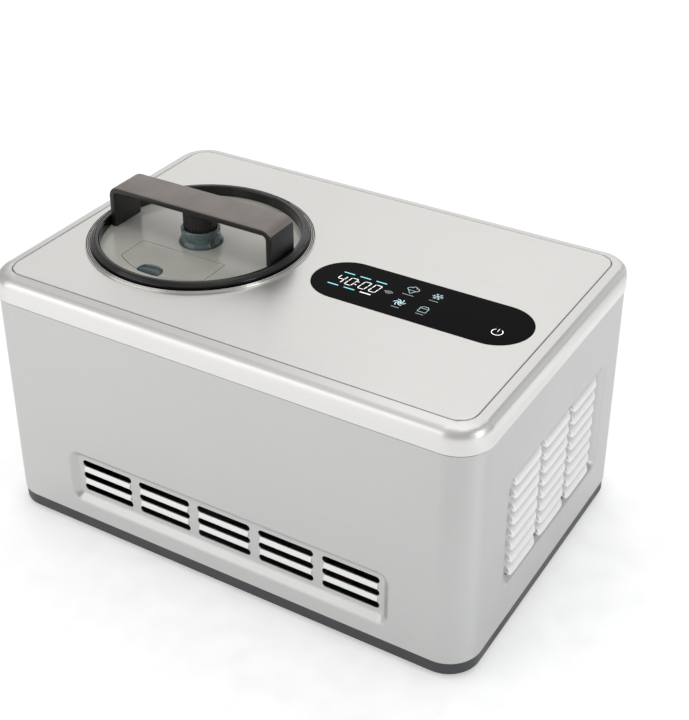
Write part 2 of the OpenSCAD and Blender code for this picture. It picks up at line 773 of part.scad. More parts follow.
module idler_pin() {
  color("#c9ccce") translate([idler_x, idler_y, case_z + 1])
    cylinder(case_top + 2 - case_z - 1, r = idler_pin_r);
}

module stir_motor() {
  color("#9b9ea1") translate([motor_x, motor_y, motor_z]) difference() {
    union() {
      cylinder(3, r = motor_r - 3);
      translate([0, 0, 3]) cylinder(motor_h - 8, r = motor_r - 0.5);
      translate([0, 0, 6]) cylinder(motor_h - 14, r = motor_r);
      translate([0, 0, motor_h - 5]) cylinder(5, r = 8);
      translate([-14, -3, motor_h - 5]) cube([5, 6, 4]);
    }
    translate([0, 0, -1]) cylinder(motor_h - 8, r = motor_shaft_r + run_gap);
  }
}

// ---- moving drive parts ----
module drive_shaft() {
  color("#d0d3d5") at_well() {
    translate([0, 0, case_z + 1.2]) cylinder(tube_top - case_z - 1.2, r = shaft_r);
    translate([0, 0, (sq_z + sq_h + tube_top) / 2])
      cube([drive_sq, drive_sq, sq_z + sq_h - tube_top], center = true);
  }
}

module output_gear() {
  color("#e9e4d4") at_well() difference() {
    union() {
      translate([0, 0, gear_z]) linear_extrude(gear_t) rotate(train_angle) gear_2d(output_n);
      translate([0, 0, case_floor + 3.3]) cylinder(idler_z + 8 - case_floor - 3.3, r = bush_r);
    }
    for (a = [0 : 60 : 300]) rotate(a) translate([output_r * 0.55, 0, 0]) cylinder(case_top, r = 10);
    cylinder(case_top, r = shaft_r);
  }
}

module idler_gear() {
  color("#e9e4d4") translate([idler_x, idler_y, 0]) difference() {
    union() {
      translate([0, 0, case_floor + 3]) linear_extrude(idler_z - case_floor - 3)
        rotate(train_angle + 180 + 180 / pinion_n) gear_2d(pinion_n);
      translate([0, 0, idler_z]) linear_extrude(idler_t) rotate(train_angle) gear_2d(idler_n);
      translate([0, 0, idler_z]) cylinder(case_top - 0.3 - idler_z, r = 7);
    }
    for (a = [0 : 60 : 300]) rotate(a) translate([idler_r * 0.56, 0, idler_z - 1]) cylinder(case_top, r = 8);
    cylinder(case_top, r = idler_pin_r + run_gap);
  }
}

module motor_pinion() {
  color("#c9ccce") translate([motor_x, motor_y, 0]) {
    translate([0, 0, idler_z - 0.5]) linear_extrude(idler_t + 1.5)
      rotate(train_angle + 180 + 180 / pinion_n) gear_2d(pinion_n);
    translate([0, 0, idler_z]) cylinder(motor_z + motor_h - 10 - idler_z, r = motor_shaft_r);
  }
}

// ---- compressor ----
module compressor() {
  dome = 12;
  color("#2e3033") translate([comp_x, comp_y, 0]) {
    intersection() {
      translate([0, 0, shell_z]) cylinder(comp_h, r = comp_r);
      translate([0, 0, shell_z + comp_h - 118]) sphere(118);
    }
    translate([0, 0, shell_z + 74]) cylinder(5, r = comp_r + 1.5);
    bar([-comp_r + 6, stub_y - comp_y, 100], [-comp_r - 8, stub_y - comp_y, 100], line_r + 2);
    bar([16, -comp_r + 6, 150], [16, -comp_r - 10, 150], line_r + 1.5);
  }
}

module compressor_plate() {
  color("#4a4d50") difference() {
    translate([comp_x, comp_y, plate_z])
      rounded(2 * comp_foot_x + 20, 2 * comp_foot_y + 20, 9, plate_t);
    for (p = comp_points) translate([p[0], p[1], 0]) cylinder(40, r = 6);
  }
}

module compressor_grommets() {
  color("#1b1b1c") for (p = comp_points) translate([p[0], p[1], 0]) difference() {
    union() {
      translate([0, 0, floor_z]) cylinder(plate_z - floor_z, r = grommet_r);
      translate([0, 0, plate_z]) cylinder(plate_t, r = 6);
      translate([0, 0, shell_z]) cylinder(2, r = grommet_r);
    }
    cylinder(60, r = 3);
  }
}

module compressor_bolts() {
  color("#b8bbbd") for (p = comp_points) translate([p[0], p[1], 0]) {
    translate([0, 0, floor_z]) cylinder(shell_z + 7 - floor_z, r = 3);
    translate([0, 0, shell_z + 2]) cylinder(4, r = 5.5, $fn = 6);
  }
}

module relay_box() {
  color("#17181a") difference() {
    translate([comp_x - 26, comp_y + comp_r - 6, 52]) cube([52, 17, 54]);
    translate([comp_x, comp_y, 0]) cylinder(200, r = comp_r);
    translate([comp_x, comp_y, shell_z + 73.5]) cylinder(6, r = comp_r + 1.7);
  }
}

// ---- condenser and fan ----
module condenser_fins() {
  step = 2 * fin_half / (fin_count - 1);
  color("#c7cacb") for (i = [0 : fin_count - 1])
    translate([cond_x, fan_y - fin_half + i * step, fan_z])
      rotate([90, 0, 0]) linear_extrude(0.5, center = true)
      difference() {
        square([cond_t, fin_h], center = true);
        for (z = tube_rows) translate([0, z - fan_z]) circle(cond_tube_r);
      }
}

module condenser_tube() {
  reach = cond_half + 4;
  color("#b4703f") {
    for (z = tube_rows) bar([cond_x, fan_y - reach, z], [cond_x, fan_y + reach, z], cond_tube_r);
    for (i = [0 : cond_rows - 2]) {
      side = i % 2 == 0 ? 1 : -1;
      translate([cond_x, fan_y + side * reach, (tube_rows[i] + tube_rows[i + 1]) / 2])
        rotate([0, 90, 0]) rotate(side > 0 ? 0 : 180) rotate_extrude(angle = 180)
          translate([cond_pitch / 2, 0]) circle(cond_tube_r, $fn = 24);
    }
  }
}

// Sheet that carries the fan on one side and the tube ends on the other
module fan_shroud() {
  top_z = fan_z + fin_h / 2 + 6;
  color("#8f9295") {
    difference() {
      translate([shroud_x, fan_y - cond_half, floor_z]) cube([shroud_t, 2 * cond_half, top_z - floor_z]);
      translate([shroud_x - 1, fan_y, fan_z]) rotate([0, 90, 0]) cylinder(5, r = duct_r);
      for (p = fan_points) translate([shroud_x - 1, p[0], p[1]]) rotate([0, 90, 0]) cylinder(5, r = 1.8);
    }
    for (y = [fan_y - cond_half, fan_y + cond_half - 1]) difference() {
      translate([shroud_x, y, floor_z]) cube([cond_x + cond_tube_r + 5 - shroud_x, 1, top_z - floor_z]);
      for (z = tube_rows) translate([cond_x, y - 1, z]) rotate([-90, 0, 0]) cylinder(3, r = cond_tube_r);
    }
    translate([shroud_x - 14, fan_y - 60, floor_z]) cube([14, 120, 1.5]);
  }
}

module fan_frame() {
  color("#26282b") translate([fan_x, fan_y, fan_z]) rotate([0, 90, 0]) {
    difference() {
      translate([0, 0, -fan_t / 2]) rounded(fan_size, fan_size, 6, fan_t);
      translate([0, 0, -fan_t]) cylinder(2 * fan_t, r = duct_r);
      for (x = [-1, 1], y = [-1, 1]) translate([x * (fan_size / 2 - 7), y * (fan_size / 2 - 7), -fan_t])
        cylinder(2 * fan_t, r = 1.8);
    }
    difference() {
      union() {
        translate([0, 0, -fan_t / 2]) cylinder(3, r = fan_hub_r - 1);
        translate([0, 0, -fan_t / 2]) cylinder(fan_t - 7, r = 7);
        for (a = [0 : 90 : 270]) rotate(a) translate([0, -2.5, -fan_t / 2]) cube([duct_r + 0.5, 5, 3]);
      }
      translate([0, 0, -fan_t / 2 + 2]) cylinder(fan_t, r = fan_shaft_r + run_gap);
    }
  }
}

module fan_screws() {
  color("#b8bbbd") for (p = fan_points) translate([0, p[0], p[1]]) rotate([0, 90, 0]) {
    translate([0, 0, fan_x - fan_t / 2]) cylinder(fan_t + shroud_t + 2, r = 1.8);
    translate([0, 0, fan_x - fan_t / 2 - 2]) cylinder(2, r = 3.4);
    translate([0, 0, shroud_x + shroud_t]) cylinder(1.6, r = 3.4, $fn = 6);
  }
}

module fan_rotor() {
  blade_l = fan_tip_r - fan_hub_r + 1;
  color("#3b3e42") translate([fan_x, fan_y, fan_z]) rotate([0, 90, 0]) {
    difference() {
      translate([0, 0, -fan_t / 2 + 3.6]) cylinder(fan_t - 5.6, r = fan_hub_r);
      translate([0, 0, -fan_t / 2]) cylinder(fan_t - 5, r = fan_hub_r - 2);
    }
    translate([0, 0, -fan_t / 2 + 3]) cylinder(fan_t - 6, r = fan_shaft_r);
    intersection() {
      for (i = [0 : fan_blades - 1]) rotate(i * 360 / fan_blades)
        translate([fan_hub_r - 1 + blade_l / 2, 0, 1.2]) rotate([38, 0, 0])
          cube([blade_l, 24, 1.8], center = true);
      cylinder(60, r = fan_tip_r, center = true);
    }
  }
}

// ---- refrigerant lines ----
tail_y = fan_y - cond_half - 4;
top_row = tube_rows[cond_rows - 1];
low_row = tube_rows[0];
out_z = coil_z[coil_turns - 1];
in_z = coil_z[1];
function from_well(r, a, z) = [well_x + r * cos(a), well_y + r * sin(a), z];
drier_y = -back_y + 40;
drier_z = 112;
drier_start = right_x - 56;
drier_l = 86;

module discharge_line() {
  color("#b4703f") tube_run([
    [comp_x + 16, comp_y - comp_r - 10, 150],
    [comp_x + 16, comp_y - comp_r - 30, 150],
    [comp_x + 16, tail_y - 12, 150],
    [cond_x, tail_y - 12, 150],
    [cond_x, tail_y - 12, top_row],
    [cond_x, tail_y, top_row]], line_r);
}

module liquid_line() {
  color("#b4703f") tube_run([
    [cond_x, tail_y, low_row],
    [cond_x, drier_y - 4, low_row],
    [cond_x, drier_y - 4, drier_z],
    [drier_start + 12, drier_y - 4, drier_z],
    [drier_start + 12, drier_y, drier_z],
    [drier_start, drier_y, drier_z]], line_r);
}

module filter_drier() {
  color("#a5683b") translate([drier_start, drier_y, drier_z]) rotate([0, -90, 0]) {
    cylinder(10, line_r, 9);
    translate([0, 0, 10]) cylinder(drier_l - 20, r = 9);
    translate([0, 0, drier_l - 10]) cylinder(10, 9, line_r);
  }
}

module capillary_tube() {
  cap_r = 1.5;
  end_x = drier_start - drier_l;
  color("#b4703f") {
    tube_run([
      [end_x, drier_y, drier_z],
      [end_x - 10, drier_y, drier_z],
      [end_x - 10, drier_y, drier_z + 40],
      [motor_x + 36, drier_y, drier_z + 40],
      [motor_x + 36, -16, drier_z + 40],
      from_well(foam_r + 16, in_angle, drier_z + 40),
      from_well(foam_r + 16, in_angle, in_z),
      from_well(foam_r + 4, in_angle, in_z)], cap_r);
    for (i = [0 : 2]) translate([end_x - 10, drier_y + 15, drier_z + 12 + 6 * i])
      rotate_extrude() translate([15, 0]) circle(cap_r + 0.8, $fn = 24);
  }
}

module suction_line() {
  color("#b4703f") tube_run([
    from_well(foam_r + 4, out_angle, out_z),
    [turn_x, stub_y, out_z],
    [turn_x, stub_y, 100],
    [comp_x - comp_r - 8, stub_y, 100]], line_r + 0.5);
}

// ---- power board ----
module power_board() {
  color("#2c6e49") difference() {
    translate([board_x, board_y, board_z]) rounded(board_w, board_d, 3, board_t);
    for (p = board_points) translate([p[0], p[1], 0]) cylinder(60, r = 1.6);
  }
  color("#b8bbbd") for (p = board_points) translate([p[0], p[1], board_z]) {
    cylinder(board_t, r = 1.6);
    translate([0, 0, board_t]) cylinder(1.6, r = 2.8);
  }
}

module board_parts() {
  top = board_z + board_t;
  color("#d8a23a") translate([board_x, board_y, top]) {
    translate([-46, -20, 0]) cube([32, 38, 28]);
    translate([-6, -24, 0]) cube([18, 15, 15]);
    translate([18, -24, 0]) cube([26, 10, 12]);
  }
  color("#33363a") translate([board_x, board_y, top]) {
    translate([-2, 14, 0]) cylinder(26, r = 9);
    translate([18, 16, 0]) cylinder(22, r = 7);
    translate([30, -6, 0]) cube([4, 34, 30]);
    for (i = [0 : 3]) translate([34, -6 + i * 10, 0]) cube([8, 2, 30]);
  }
}

// ---- bowl and paddle ----
module bowl() {
  rim_r = collar_r - 0.6;
  color("#c8cbcd") at_well() difference() {
    union() {
      translate([0, 0, bowl_floor - bowl_t]) cylinder(rim_z - bowl_floor + bowl_t, r = bowl_r + bowl_t);
      translate([0, 0, well_top]) cylinder(rim_t, r = rim_r);
    }
    difference() {
      translate([0, 0, bowl_floor]) cylinder(bowl_depth + 5, r = bowl_r);
      cylinder(tube_top, r = tube_r + bowl_t);
    }
    cylinder(tube_top + 5, r = tube_r);
  }
}

// One side of the paddle, as an outline of radius and height
module paddle_side() {
  low = bowl_floor + 1.5;
  high = rim_z - 22;
  edge = bowl_r - 1.2;
  rotate([90, 0, 0]) linear_extrude(3, center = true) difference() {
    polygon([[0, low], [edge - 3, low], [edge, low + 3], [edge, high - 4], [edge - 4, high],
             [edge - 12, high], [30, high - 34], [0, high - 34]]);
    polygon([[tube_r + 10, low + 11], [edge - 11, low + 11], [edge - 11, high - 14],
             [32, high - 46], [tube_r + 10, high - 46]]);
  }
}

module paddle() {
  hub_r = tube_r + bowl_t + 4.5;
  color("#e4e4e0") at_well() {
    difference() {
      union() {
        translate([0, 0, bowl_floor + 1.5]) cylinder(sq_z + sq_h + 6 - bowl_floor - 1.5, r = hub_r);
        paddle_side();
        rotate(180) paddle_side();
        translate([0, 0, sq_z + sq_h]) cylinder(rim_z - sq_z - sq_h, r = 9);
        translate([0, 0, rim_z - 4]) cylinder(deck_z + 18 - rim_z + 4, r = pin_r);
      }
      translate([0, 0, bowl_floor]) cylinder(tube_top + 0.5 - bowl_floor, r = tube_r + bowl_t + 0.4);
      translate([-drive_sq / 2 - fit_gap, -drive_sq / 2 - fit_gap, tube_top])
        cube([drive_sq + 2 * fit_gap, drive_sq + 2 * fit_gap, sq_z + sq_h + fit_gap - tube_top]);
    }
  }
}

// ---- lid ----
module lid_rim() {
  ledge = 2;
  color("#1a1b1d") at_well() difference() {
    union() {
      translate([0, 0, rim_z + gasket_t]) cylinder(deck_z + rim_rise - rim_z - gasket_t, r = skirt_r);
      translate([0, 0, deck_z + collar_rise]) cylinder(rim_rise - collar_rise - 1, r = rim_out_r);
      translate([0, 0, deck_z + rim_rise - 1]) cylinder(1, rim_out_r, rim_out_r - 1);
    }
    translate([0, 0, disc_z]) cylinder(20, r = rim_in_r);
    cylinder(deck_z, r = rim_in_r - ledge);
  }
}

module lid_gasket() {
  color("#8f9496") at_well() difference() {
    translate([0, 0, rim_z]) cylinder(gasket_t, r = skirt_r - 0.5);
    cylinder(deck_z, r = bowl_r + 3);
  }
}

module flap_outline(grow) {
  intersection() {
    translate([-flap_half - grow, -flap_r - grow])
      square([2 * (flap_half + grow), flap_r - flap_hinge + 2 * grow]);
    circle(flap_r + grow);
  }
}

hinge_y = -flap_hinge - 4;
screw_x = rim_in_r - 2 - handle_t / 2;
screw_y = 8;
leg_screw_r = 1.2;
hinge_z = disc_z + disc_t / 2;
hinge_pin_r = 0.9;
hinge_pin_l = 4;

module lid_disc() {
  color("#8b8a80", 0.55) at_well() difference() {
    translate([0, 0, disc_z]) cylinder(disc_t, r = rim_in_r);
    translate([0, 0, disc_z - 1]) linear_extrude(disc_t + 2) flap_outline(flap_gap);
    translate([0, 0, disc_z - 1]) cylinder(disc_t + 2, r = post_r - 2);
    for (x = [-1, 1]) translate([x * (flap_half + flap_gap - 1), hinge_y, hinge_z]) rotate([0, x * 90, 0])
      cylinder(hinge_pin_l + 1, r = hinge_pin_r + run_gap);
    leg_screw_places() translate([0, 0, disc_z - 1]) cylinder(disc_t + 2, r = leg_screw_r);
  }
}

module lid_handle() {
  half = rim_in_r - 2;
  color("#3c3533") at_well() difference() {
    translate([0, handle_w / 2, 0]) rotate([90, 0, 0]) linear_extrude(handle_w) difference() {
      handle_side(half, handle_top, handle_bend);
      handle_side(half - handle_t, handle_top - handle_t, handle_bend - handle_t);
    }
    leg_screw_places() translate([0, 0, disc_top - 1]) cylinder(9, r = leg_screw_r);
  }
}

module handle_side(half, top, bend) {
  translate([-half, disc_top]) square([2 * half, top - disc_top - bend]);
  translate([-half + bend, disc_top]) square([2 * (half - bend), top - disc_top]);
  for (x = [-1, 1]) translate([x * (half - bend), top - bend]) circle(bend);
}

module handle_post() {
  color("#151517") at_well() difference() {
    translate([0, 0, disc_top + 7]) cylinder(handle_top - handle_t - disc_top - 7, r = post_r);
    cylinder(deck_z + 20, r = pin_r + run_gap);
  }
}

// Clear collar that widens towards the disc and holds the post
module hub_collar() {
  color("#9fc4c4", 0.6) at_well() translate([0, 0, disc_top]) rotate_extrude()
    polygon([[post_r - 2, 0], [post_r + 4.2, 0], [post_r + 3.6, 2.5], [post_r + 2, 5], [post_r + 1.8, 13],
             [post_r + 0.8, 13.6], [post_r, 13.6], [post_r, 7], [post_r - 2, 7]]);
}

module leg_screw_places() {
  for (x = [-1, 1], y = [-1, 1]) translate([x * screw_x, y * screw_y, 0]) children();
}

// Screws from under the disc into the handle's legs
module handle_screws() {
  color("#b8bbbd") at_well() leg_screw_places() {
    translate([0, 0, disc_z]) cylinder(disc_t + 8, r = leg_screw_r);
    translate([0, 0, disc_z - 1.4]) cylinder(1.4, r = 2);
  }
}

module filling_flap() {
  color("#8b8a80", 0.55) at_well() {
    translate([0, 0, disc_z]) linear_extrude(disc_t) flap_outline(0);
    for (x = [-1, 1]) translate([x * (flap_half - 0.5), hinge_y, hinge_z]) rotate([0, x * 90, 0])
      cylinder(hinge_pin_l, r = hinge_pin_r);
  }
}

module flap_tab() {
  color("#5f7376") at_well() translate([-5, -flap_r + 6, disc_top]) difference() {
    rounded(22, 13, 6.4, 2.2);
    translate([0, 1, 1.2]) rounded(14, 6, 2.9, 3);
  }
}

base_tray();
feet();
base_screws();
housing_wrap();
top_frame();
top_cover();
cover_nuts();
trim_ring();
well_collar();
control_glass();
control_tray();
control_board();
rear_panel();
rear_screws();
mains_inlet();
evaporator_well();
evaporator_coil();
well_foam();
shaft_seal();
gearbox_case();
gearbox_cover();
gearbox_screws();
shaft_bushings();
idler_pin();
stir_motor();
compressor();
compressor_plate();
compressor_grommets();
compressor_bolts();
relay_box();
condenser_fins();
condenser_tube();
fan_shroud();
fan_frame();
fan_screws();
discharge_line();
liquid_line();
filter_drier();
capillary_tube();
suction_line();
power_board();
board_parts();
drive_shaft();
output_gear();
idler_gear();
motor_pinion();
fan_rotor();
bowl();
paddle();
lid_rim();
lid_gasket();
lid_disc();
lid_handle();
handle_post();
hub_collar();
handle_screws();
filling_flap();
flap_tab();
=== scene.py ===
import math

import bmesh
import bpy
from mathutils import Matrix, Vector


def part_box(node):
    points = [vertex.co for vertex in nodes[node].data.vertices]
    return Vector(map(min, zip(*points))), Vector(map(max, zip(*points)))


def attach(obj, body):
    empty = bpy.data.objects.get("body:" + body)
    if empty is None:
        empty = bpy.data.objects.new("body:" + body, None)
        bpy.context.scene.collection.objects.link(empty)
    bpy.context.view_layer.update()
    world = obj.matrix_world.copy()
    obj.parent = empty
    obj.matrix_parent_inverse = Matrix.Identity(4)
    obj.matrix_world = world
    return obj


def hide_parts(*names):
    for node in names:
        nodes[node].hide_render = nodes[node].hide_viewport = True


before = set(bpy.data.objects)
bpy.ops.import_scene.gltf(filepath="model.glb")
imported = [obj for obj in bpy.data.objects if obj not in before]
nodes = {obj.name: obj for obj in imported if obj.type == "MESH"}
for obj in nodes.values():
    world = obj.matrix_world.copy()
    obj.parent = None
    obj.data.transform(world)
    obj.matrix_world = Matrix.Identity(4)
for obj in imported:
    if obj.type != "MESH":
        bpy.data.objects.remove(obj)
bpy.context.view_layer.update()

scene = bpy.context.scene
mm = 0.001

# places that several pieces share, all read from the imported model
bowlLow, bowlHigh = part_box("bowl")
wellX = (bowlLow.x + bowlHigh.x) / 2
wellY = (bowlLow.y + bowlHigh.y) / 2
discLow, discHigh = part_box("lid_disc")
rimLow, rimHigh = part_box("lid_rim")
glassLow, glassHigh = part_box("control_glass")
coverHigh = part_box("top_cover")[1]
print("frame: model loaded,", len(nodes), "nodes")


# mesh helpers
def addPiece(name, mesh, finishes):
    # finishes is one material, or a list of them in the order of the mesh's material numbers
    piece = bpy.data.objects.new(name, mesh)
    scene.collection.objects.link(piece)
    for finish in finishes if isinstance(finishes, list) else [finishes]:
        piece.data.materials.append(finish)
    return piece


def smoothMesh(bm, name, sharpAngle=40):
    bmesh.ops.recalc_face_normals(bm, faces=bm.faces)
    if bm.calc_volume(signed=True) < 0:
        bmesh.ops.reverse_faces(bm, faces=bm.faces)
    mesh = bpy.data.meshes.new(name)
    bm.to_mesh(mesh)
    bm.free()
    for polygon in mesh.polygons:
        polygon.use_smooth = True
    mesh.set_sharp_from_angle(angle=math.radians(sharpAngle))
    return mesh


def bakeModifiers(piece):
    graph = bpy.context.evaluated_depsgraph_get()
    finished = bpy.data.meshes.new_from_object(piece.evaluated_get(graph))
    piece.modifiers.clear()
    piece.data = finished


def lathe(name, outline, centre, material, steps=192, sharpAngle=40, shadeBands=()):
    # outline is a closed loop of (radius, height) in metres; shadeBands are spans of radius in the second
    # material, which paints shade into grooves
    bm = bmesh.new()
    rings = []
    for step in range(steps):
        angle = 2 * math.pi * step / steps
        rings.append([bm.verts.new((centre[0] + radius * math.cos(angle),
                                    centre[1] + radius * math.sin(angle), height))
                      for radius, height in outline])
    count = len(outline)
    for step in range(steps):
        here, there = rings[step], rings[(step + 1) % steps]
        for k in range(count):
            nextK = (k + 1) % count
            face = bm.faces.new((here[k], there[k], there[nextK], here[nextK]))
            middle = (outline[k][0] + outline[nextK][0]) / 2
            face.material_index = int(any(low < middle < high for low, high in shadeBands))
    bmesh.ops.remove_doubles(bm, verts=bm.verts, dist=1e-7)
    return addPiece(name, smoothMesh(bm, name, sharpAngle), material)


def roundedLoop(corners, radius, steps=5):
    # a closed outline with every corner eased by a short curve
    loop = []
    count = len(corners)
    for k in range(count):
        before, here, after = (Vector(corners[(k + j - 1) % count]) for j in range(3))
        reach = min(radius, 0.45 * (before - here).length, 0.45 * (after - here).length)
        start = here + (before - here).normalized() * reach
        end = here + (after - here).normalized() * reach
        for step in range(steps + 1):
            t = step / steps
            loop.append(tuple((1 - t) ** 2 * start + 2 * t * (1 - t) * here + t ** 2 * end))
    return loop


def softCopy(node, name, material, width=0, segments=2, angle=28, prepare=None):
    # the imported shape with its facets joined; with a width its edges are softly rounded
    weld, flat, mostCorners = 2e-6, math.radians(0.8), 4
    bm = bmesh.new()
    bm.from_mesh(nodes[node].data)
    bmesh.ops.remove_doubles(bm, verts=bm.verts, dist=weld)
    bmesh.ops.dissolve_limit(bm, angle_limit=flat, verts=bm.verts, edges=bm.edges)
    if prepare:
        prepare(bm)
    bmesh.ops.triangulate(bm, faces=[face for face in bm.faces if len(face.verts) > mostCorners])
    mesh = bpy.data.meshes.new(name)
    bm.to_mesh(mesh)
    bm.free()
    piece = addPiece(name, mesh, material)
    for polygon in mesh.polygons:
        polygon.use_smooth = True
    mesh.set_sharp_from_angle(angle=math.radians(angle))
    if width > 0:
        bevel = piece.modifiers.new("softEdges", "BEVEL")
        bevel.width = width
        bevel.segments = segments
        bevel.limit_method = "ANGLE"
        bevel.angle_limit = math.radians(angle)
        bevel.use_clamp_overlap = False
    even = piece.modifiers.new("evenShading", "WEIGHTED_NORMAL")
    even.keep_sharp = True
    bakeModifiers(piece)
    return piece


def extrudeLoop(bm, loop, low, high):
    # a closed prism over a loop of (x, y), from height low to height high
    bottom = [bm.verts.new((x, y, low)) for x, y in loop]
    top = [bm.verts.new((x, y, high)) for x, y in loop]
    count = len(loop)
    bm.faces.new(bottom[::-1])
    bm.faces.new(top)
    for k in range(count):
        nextK = (k + 1) % count
        bm.faces.new((bottom[k], bottom[nextK], top[nextK], top[k]))


def ringStrip(name, outer, inner, low, high, material):
    # a closed band between two outlines that have the same number of points
    bm = bmesh.new()
    layers = [[bm.verts.new((x, y, z)) for x, y in loop]
              for loop, z in ((outer, low), (outer, high), (inner, high), (inner, low))]
    for layer, nextLayer in zip(layers, layers[1:] + layers[:1]):
        for k in range(len(outer)):
            nextK = (k + 1) % len(outer)
            bm.faces.new((layer[k], layer[nextK], nextLayer[nextK], nextLayer[k]))
    return addPiece(name, smoothMesh(bm, name), material)


def roundedRectangle(halfX, halfY, radius, steps=16):
    loop = []
    for quarter, (sideX, sideY) in enumerate(((1, 1), (-1, 1), (-1, -1), (1, -1))):
        for step in range(steps + 1):
            angle = math.pi / 2 * (quarter + step / steps)
            loop.append((sideX * (halfX - radius) + radius * math.cos(angle),
                         sideY * (halfY - radius) + radius * math.sin(angle)))
    return loop


# node trees that repeat a shape
def startTree(name, inputs):
    tree = bpy.data.node_groups.new(name, "GeometryNodeTree")
    tree.is_modifier = True
    tree.interface.new_socket(name="Shape", in_out="INPUT", socket_type="NodeSocketGeometry")
    for label, kind in inputs:
        tree.interface.new_socket(name=label, in_out="INPUT", socket_type=kind)
    tree.interface.new_socket(name="Result", in_out="OUTPUT", socket_type="NodeSocketGeometry")
    return tree, tree.nodes.new("NodeGroupInput"), tree.nodes.new("NodeGroupOutput")


def treeMath(tree, operation, first, second):
    node = tree.nodes.new("ShaderNodeMath")
    node.operation = operation
    for socket, value in zip(node.inputs, (first, second)):
        if isinstance(value, (int, float)):
            socket.default_value = value
        else:
            tree.links.new(value, socket)
    return node.outputs[0]


def endTree(tree, source, sink, instances):
    # moves the repeated shapes to their centre, makes them real and gives them their finish
    move = tree.nodes.new("GeometryNodeTransform")
    real = tree.nodes.new("GeometryNodeRealizeInstances")
    finish = tree.nodes.new("GeometryNodeSetMaterial")
    tree.links.new(instances, move.inputs["Geometry"])
    tree.links.new(source.outputs["Centre"], move.inputs["Translation"])
    tree.links.new(source.outputs["Turn"], move.inputs["Rotation"])
    tree.links.new(move.outputs[0], real.inputs[0])
    tree.links.new(real.outputs[0], finish.inputs["Geometry"])
    tree.links.new(source.outputs["Finish"], finish.inputs["Material"])
    tree.links.new(finish.outputs[0], sink.inputs["Result"])


def makeGridField():
    # rows and columns of one shape
    tree, source, sink = startTree("gridField", [
        ("Columns", "NodeSocketInt"), ("Rows", "NodeSocketInt"), ("Column Pitch", "NodeSocketFloat"),
        ("Row Pitch", "NodeSocketFloat"), ("Centre", "NodeSocketVector"), ("Turn", "NodeSocketVector"),
        ("Finish", "NodeSocketMaterial")])
    grid = tree.nodes.new("GeometryNodeMeshGrid")
    for count, pitch, size, points in (("Columns", "Column Pitch", "Size X", "Vertices X"),
                                       ("Rows", "Row Pitch", "Size Y", "Vertices Y")):
        gaps = treeMath(tree, "SUBTRACT", source.outputs[count], 1)
        tree.links.new(treeMath(tree, "MULTIPLY", gaps, source.outputs[pitch]), grid.inputs[size])
        tree.links.new(source.outputs[count], grid.inputs[points])
    place = tree.nodes.new("GeometryNodeInstanceOnPoints")
    tree.links.new(grid.outputs["Mesh"], place.inputs["Points"])
    tree.links.new(source.outputs["Shape"], place.inputs["Instance"])
    endTree(tree, source, sink, place.outputs[0])
    return tree


def makeRingField():
    # one shape repeated round an upright axis
    tree, source, sink = startTree("ringField", [
        ("Count", "NodeSocketInt"), ("Radius", "NodeSocketFloat"), ("Centre", "NodeSocketVector"),
        ("Turn", "NodeSocketVector"), ("Finish", "NodeSocketMaterial")])
    circle = tree.nodes.new("GeometryNodeMeshCircle")
    tree.links.new(source.outputs["Count"], circle.inputs["Vertices"])
    tree.links.new(source.outputs["Radius"], circle.inputs["Radius"])
    step = treeMath(tree, "DIVIDE", 2 * math.pi, source.outputs["Count"])
    angle = treeMath(tree, "MULTIPLY", tree.nodes.new("GeometryNodeInputIndex").outputs[0], step)
    turn = tree.nodes.new("ShaderNodeCombineXYZ")
    tree.links.new(angle, turn.inputs["Z"])
    place = tree.nodes.new("GeometryNodeInstanceOnPoints")
    tree.links.new(circle.outputs["Mesh"], place.inputs["Points"])
    tree.links.new(source.outputs["Shape"], place.inputs["Instance"])
    tree.links.new(turn.outputs[0], place.inputs["Rotation"])
    endTree(tree, source, sink, place.outputs[0])
    return tree


def repeatShape(tree, bm, name, material, values, sharpAngle=40):
    piece = addPiece(name, smoothMesh(bm, name, sharpAngle), material)
    modifier = piece.modifiers.new("repeat", "NODES")
    modifier.node_group = tree
    for item in tree.interface.items_tree:
        if item.in_out == "INPUT" and item.name in values:
            modifier[item.identifier] = values[item.name]
        elif item.in_out == "INPUT" and item.name == "Finish":
            modifier[item.identifier] = material
    bakeModifiers(piece)
    return piece


gridField, ringField = makeGridField(), makeRingField()
print("node trees: made")


# shading groups, shared by the materials
def newGroup(name, inputs, outputs):
    group = bpy.data.node_groups.new(name, "ShaderNodeTree")
    for label, kind, value in inputs:
        socket = group.interface.new_socket(name=label, in_out="INPUT", socket_type=kind)
        if value is not None:
            socket.default_value = value
    for label in outputs:
        group.interface.new_socket(name=label, in_out="OUTPUT", socket_type="NodeSocketFloat")
    return group, group.nodes.new("NodeGroupInput"), group.nodes.new("NodeGroupOutput")


def addNoise(group, source, stretch, factor, detail, name):
    # noise on a vector that is stretched by a group input and a plain factor
    scaled = group.nodes.new("ShaderNodeVectorMath")
    scaled.operation = "MULTIPLY"
    group.links.new(source, scaled.inputs[0])
    group.links.new(stretch, scaled.inputs[1])
    noise = group.nodes.new("ShaderNodeTexNoise")
    noise.name = name
    noise.inputs["Scale"].default_value = factor
    noise.inputs["Detail"].default_value = detail
    group.links.new(scaled.outputs[0], noise.inputs["Vector"])
    return noise.outputs["Fac"]


def blendValues(group, first, second, share):
    mix = group.nodes.new("ShaderNodeMix")
    mix.data_type = "FLOAT"
    mix.inputs["Factor"].default_value = share
    group.links.new(first, mix.inputs[2])
    group.links.new(second, mix.inputs[3])
    return mix.outputs[0]


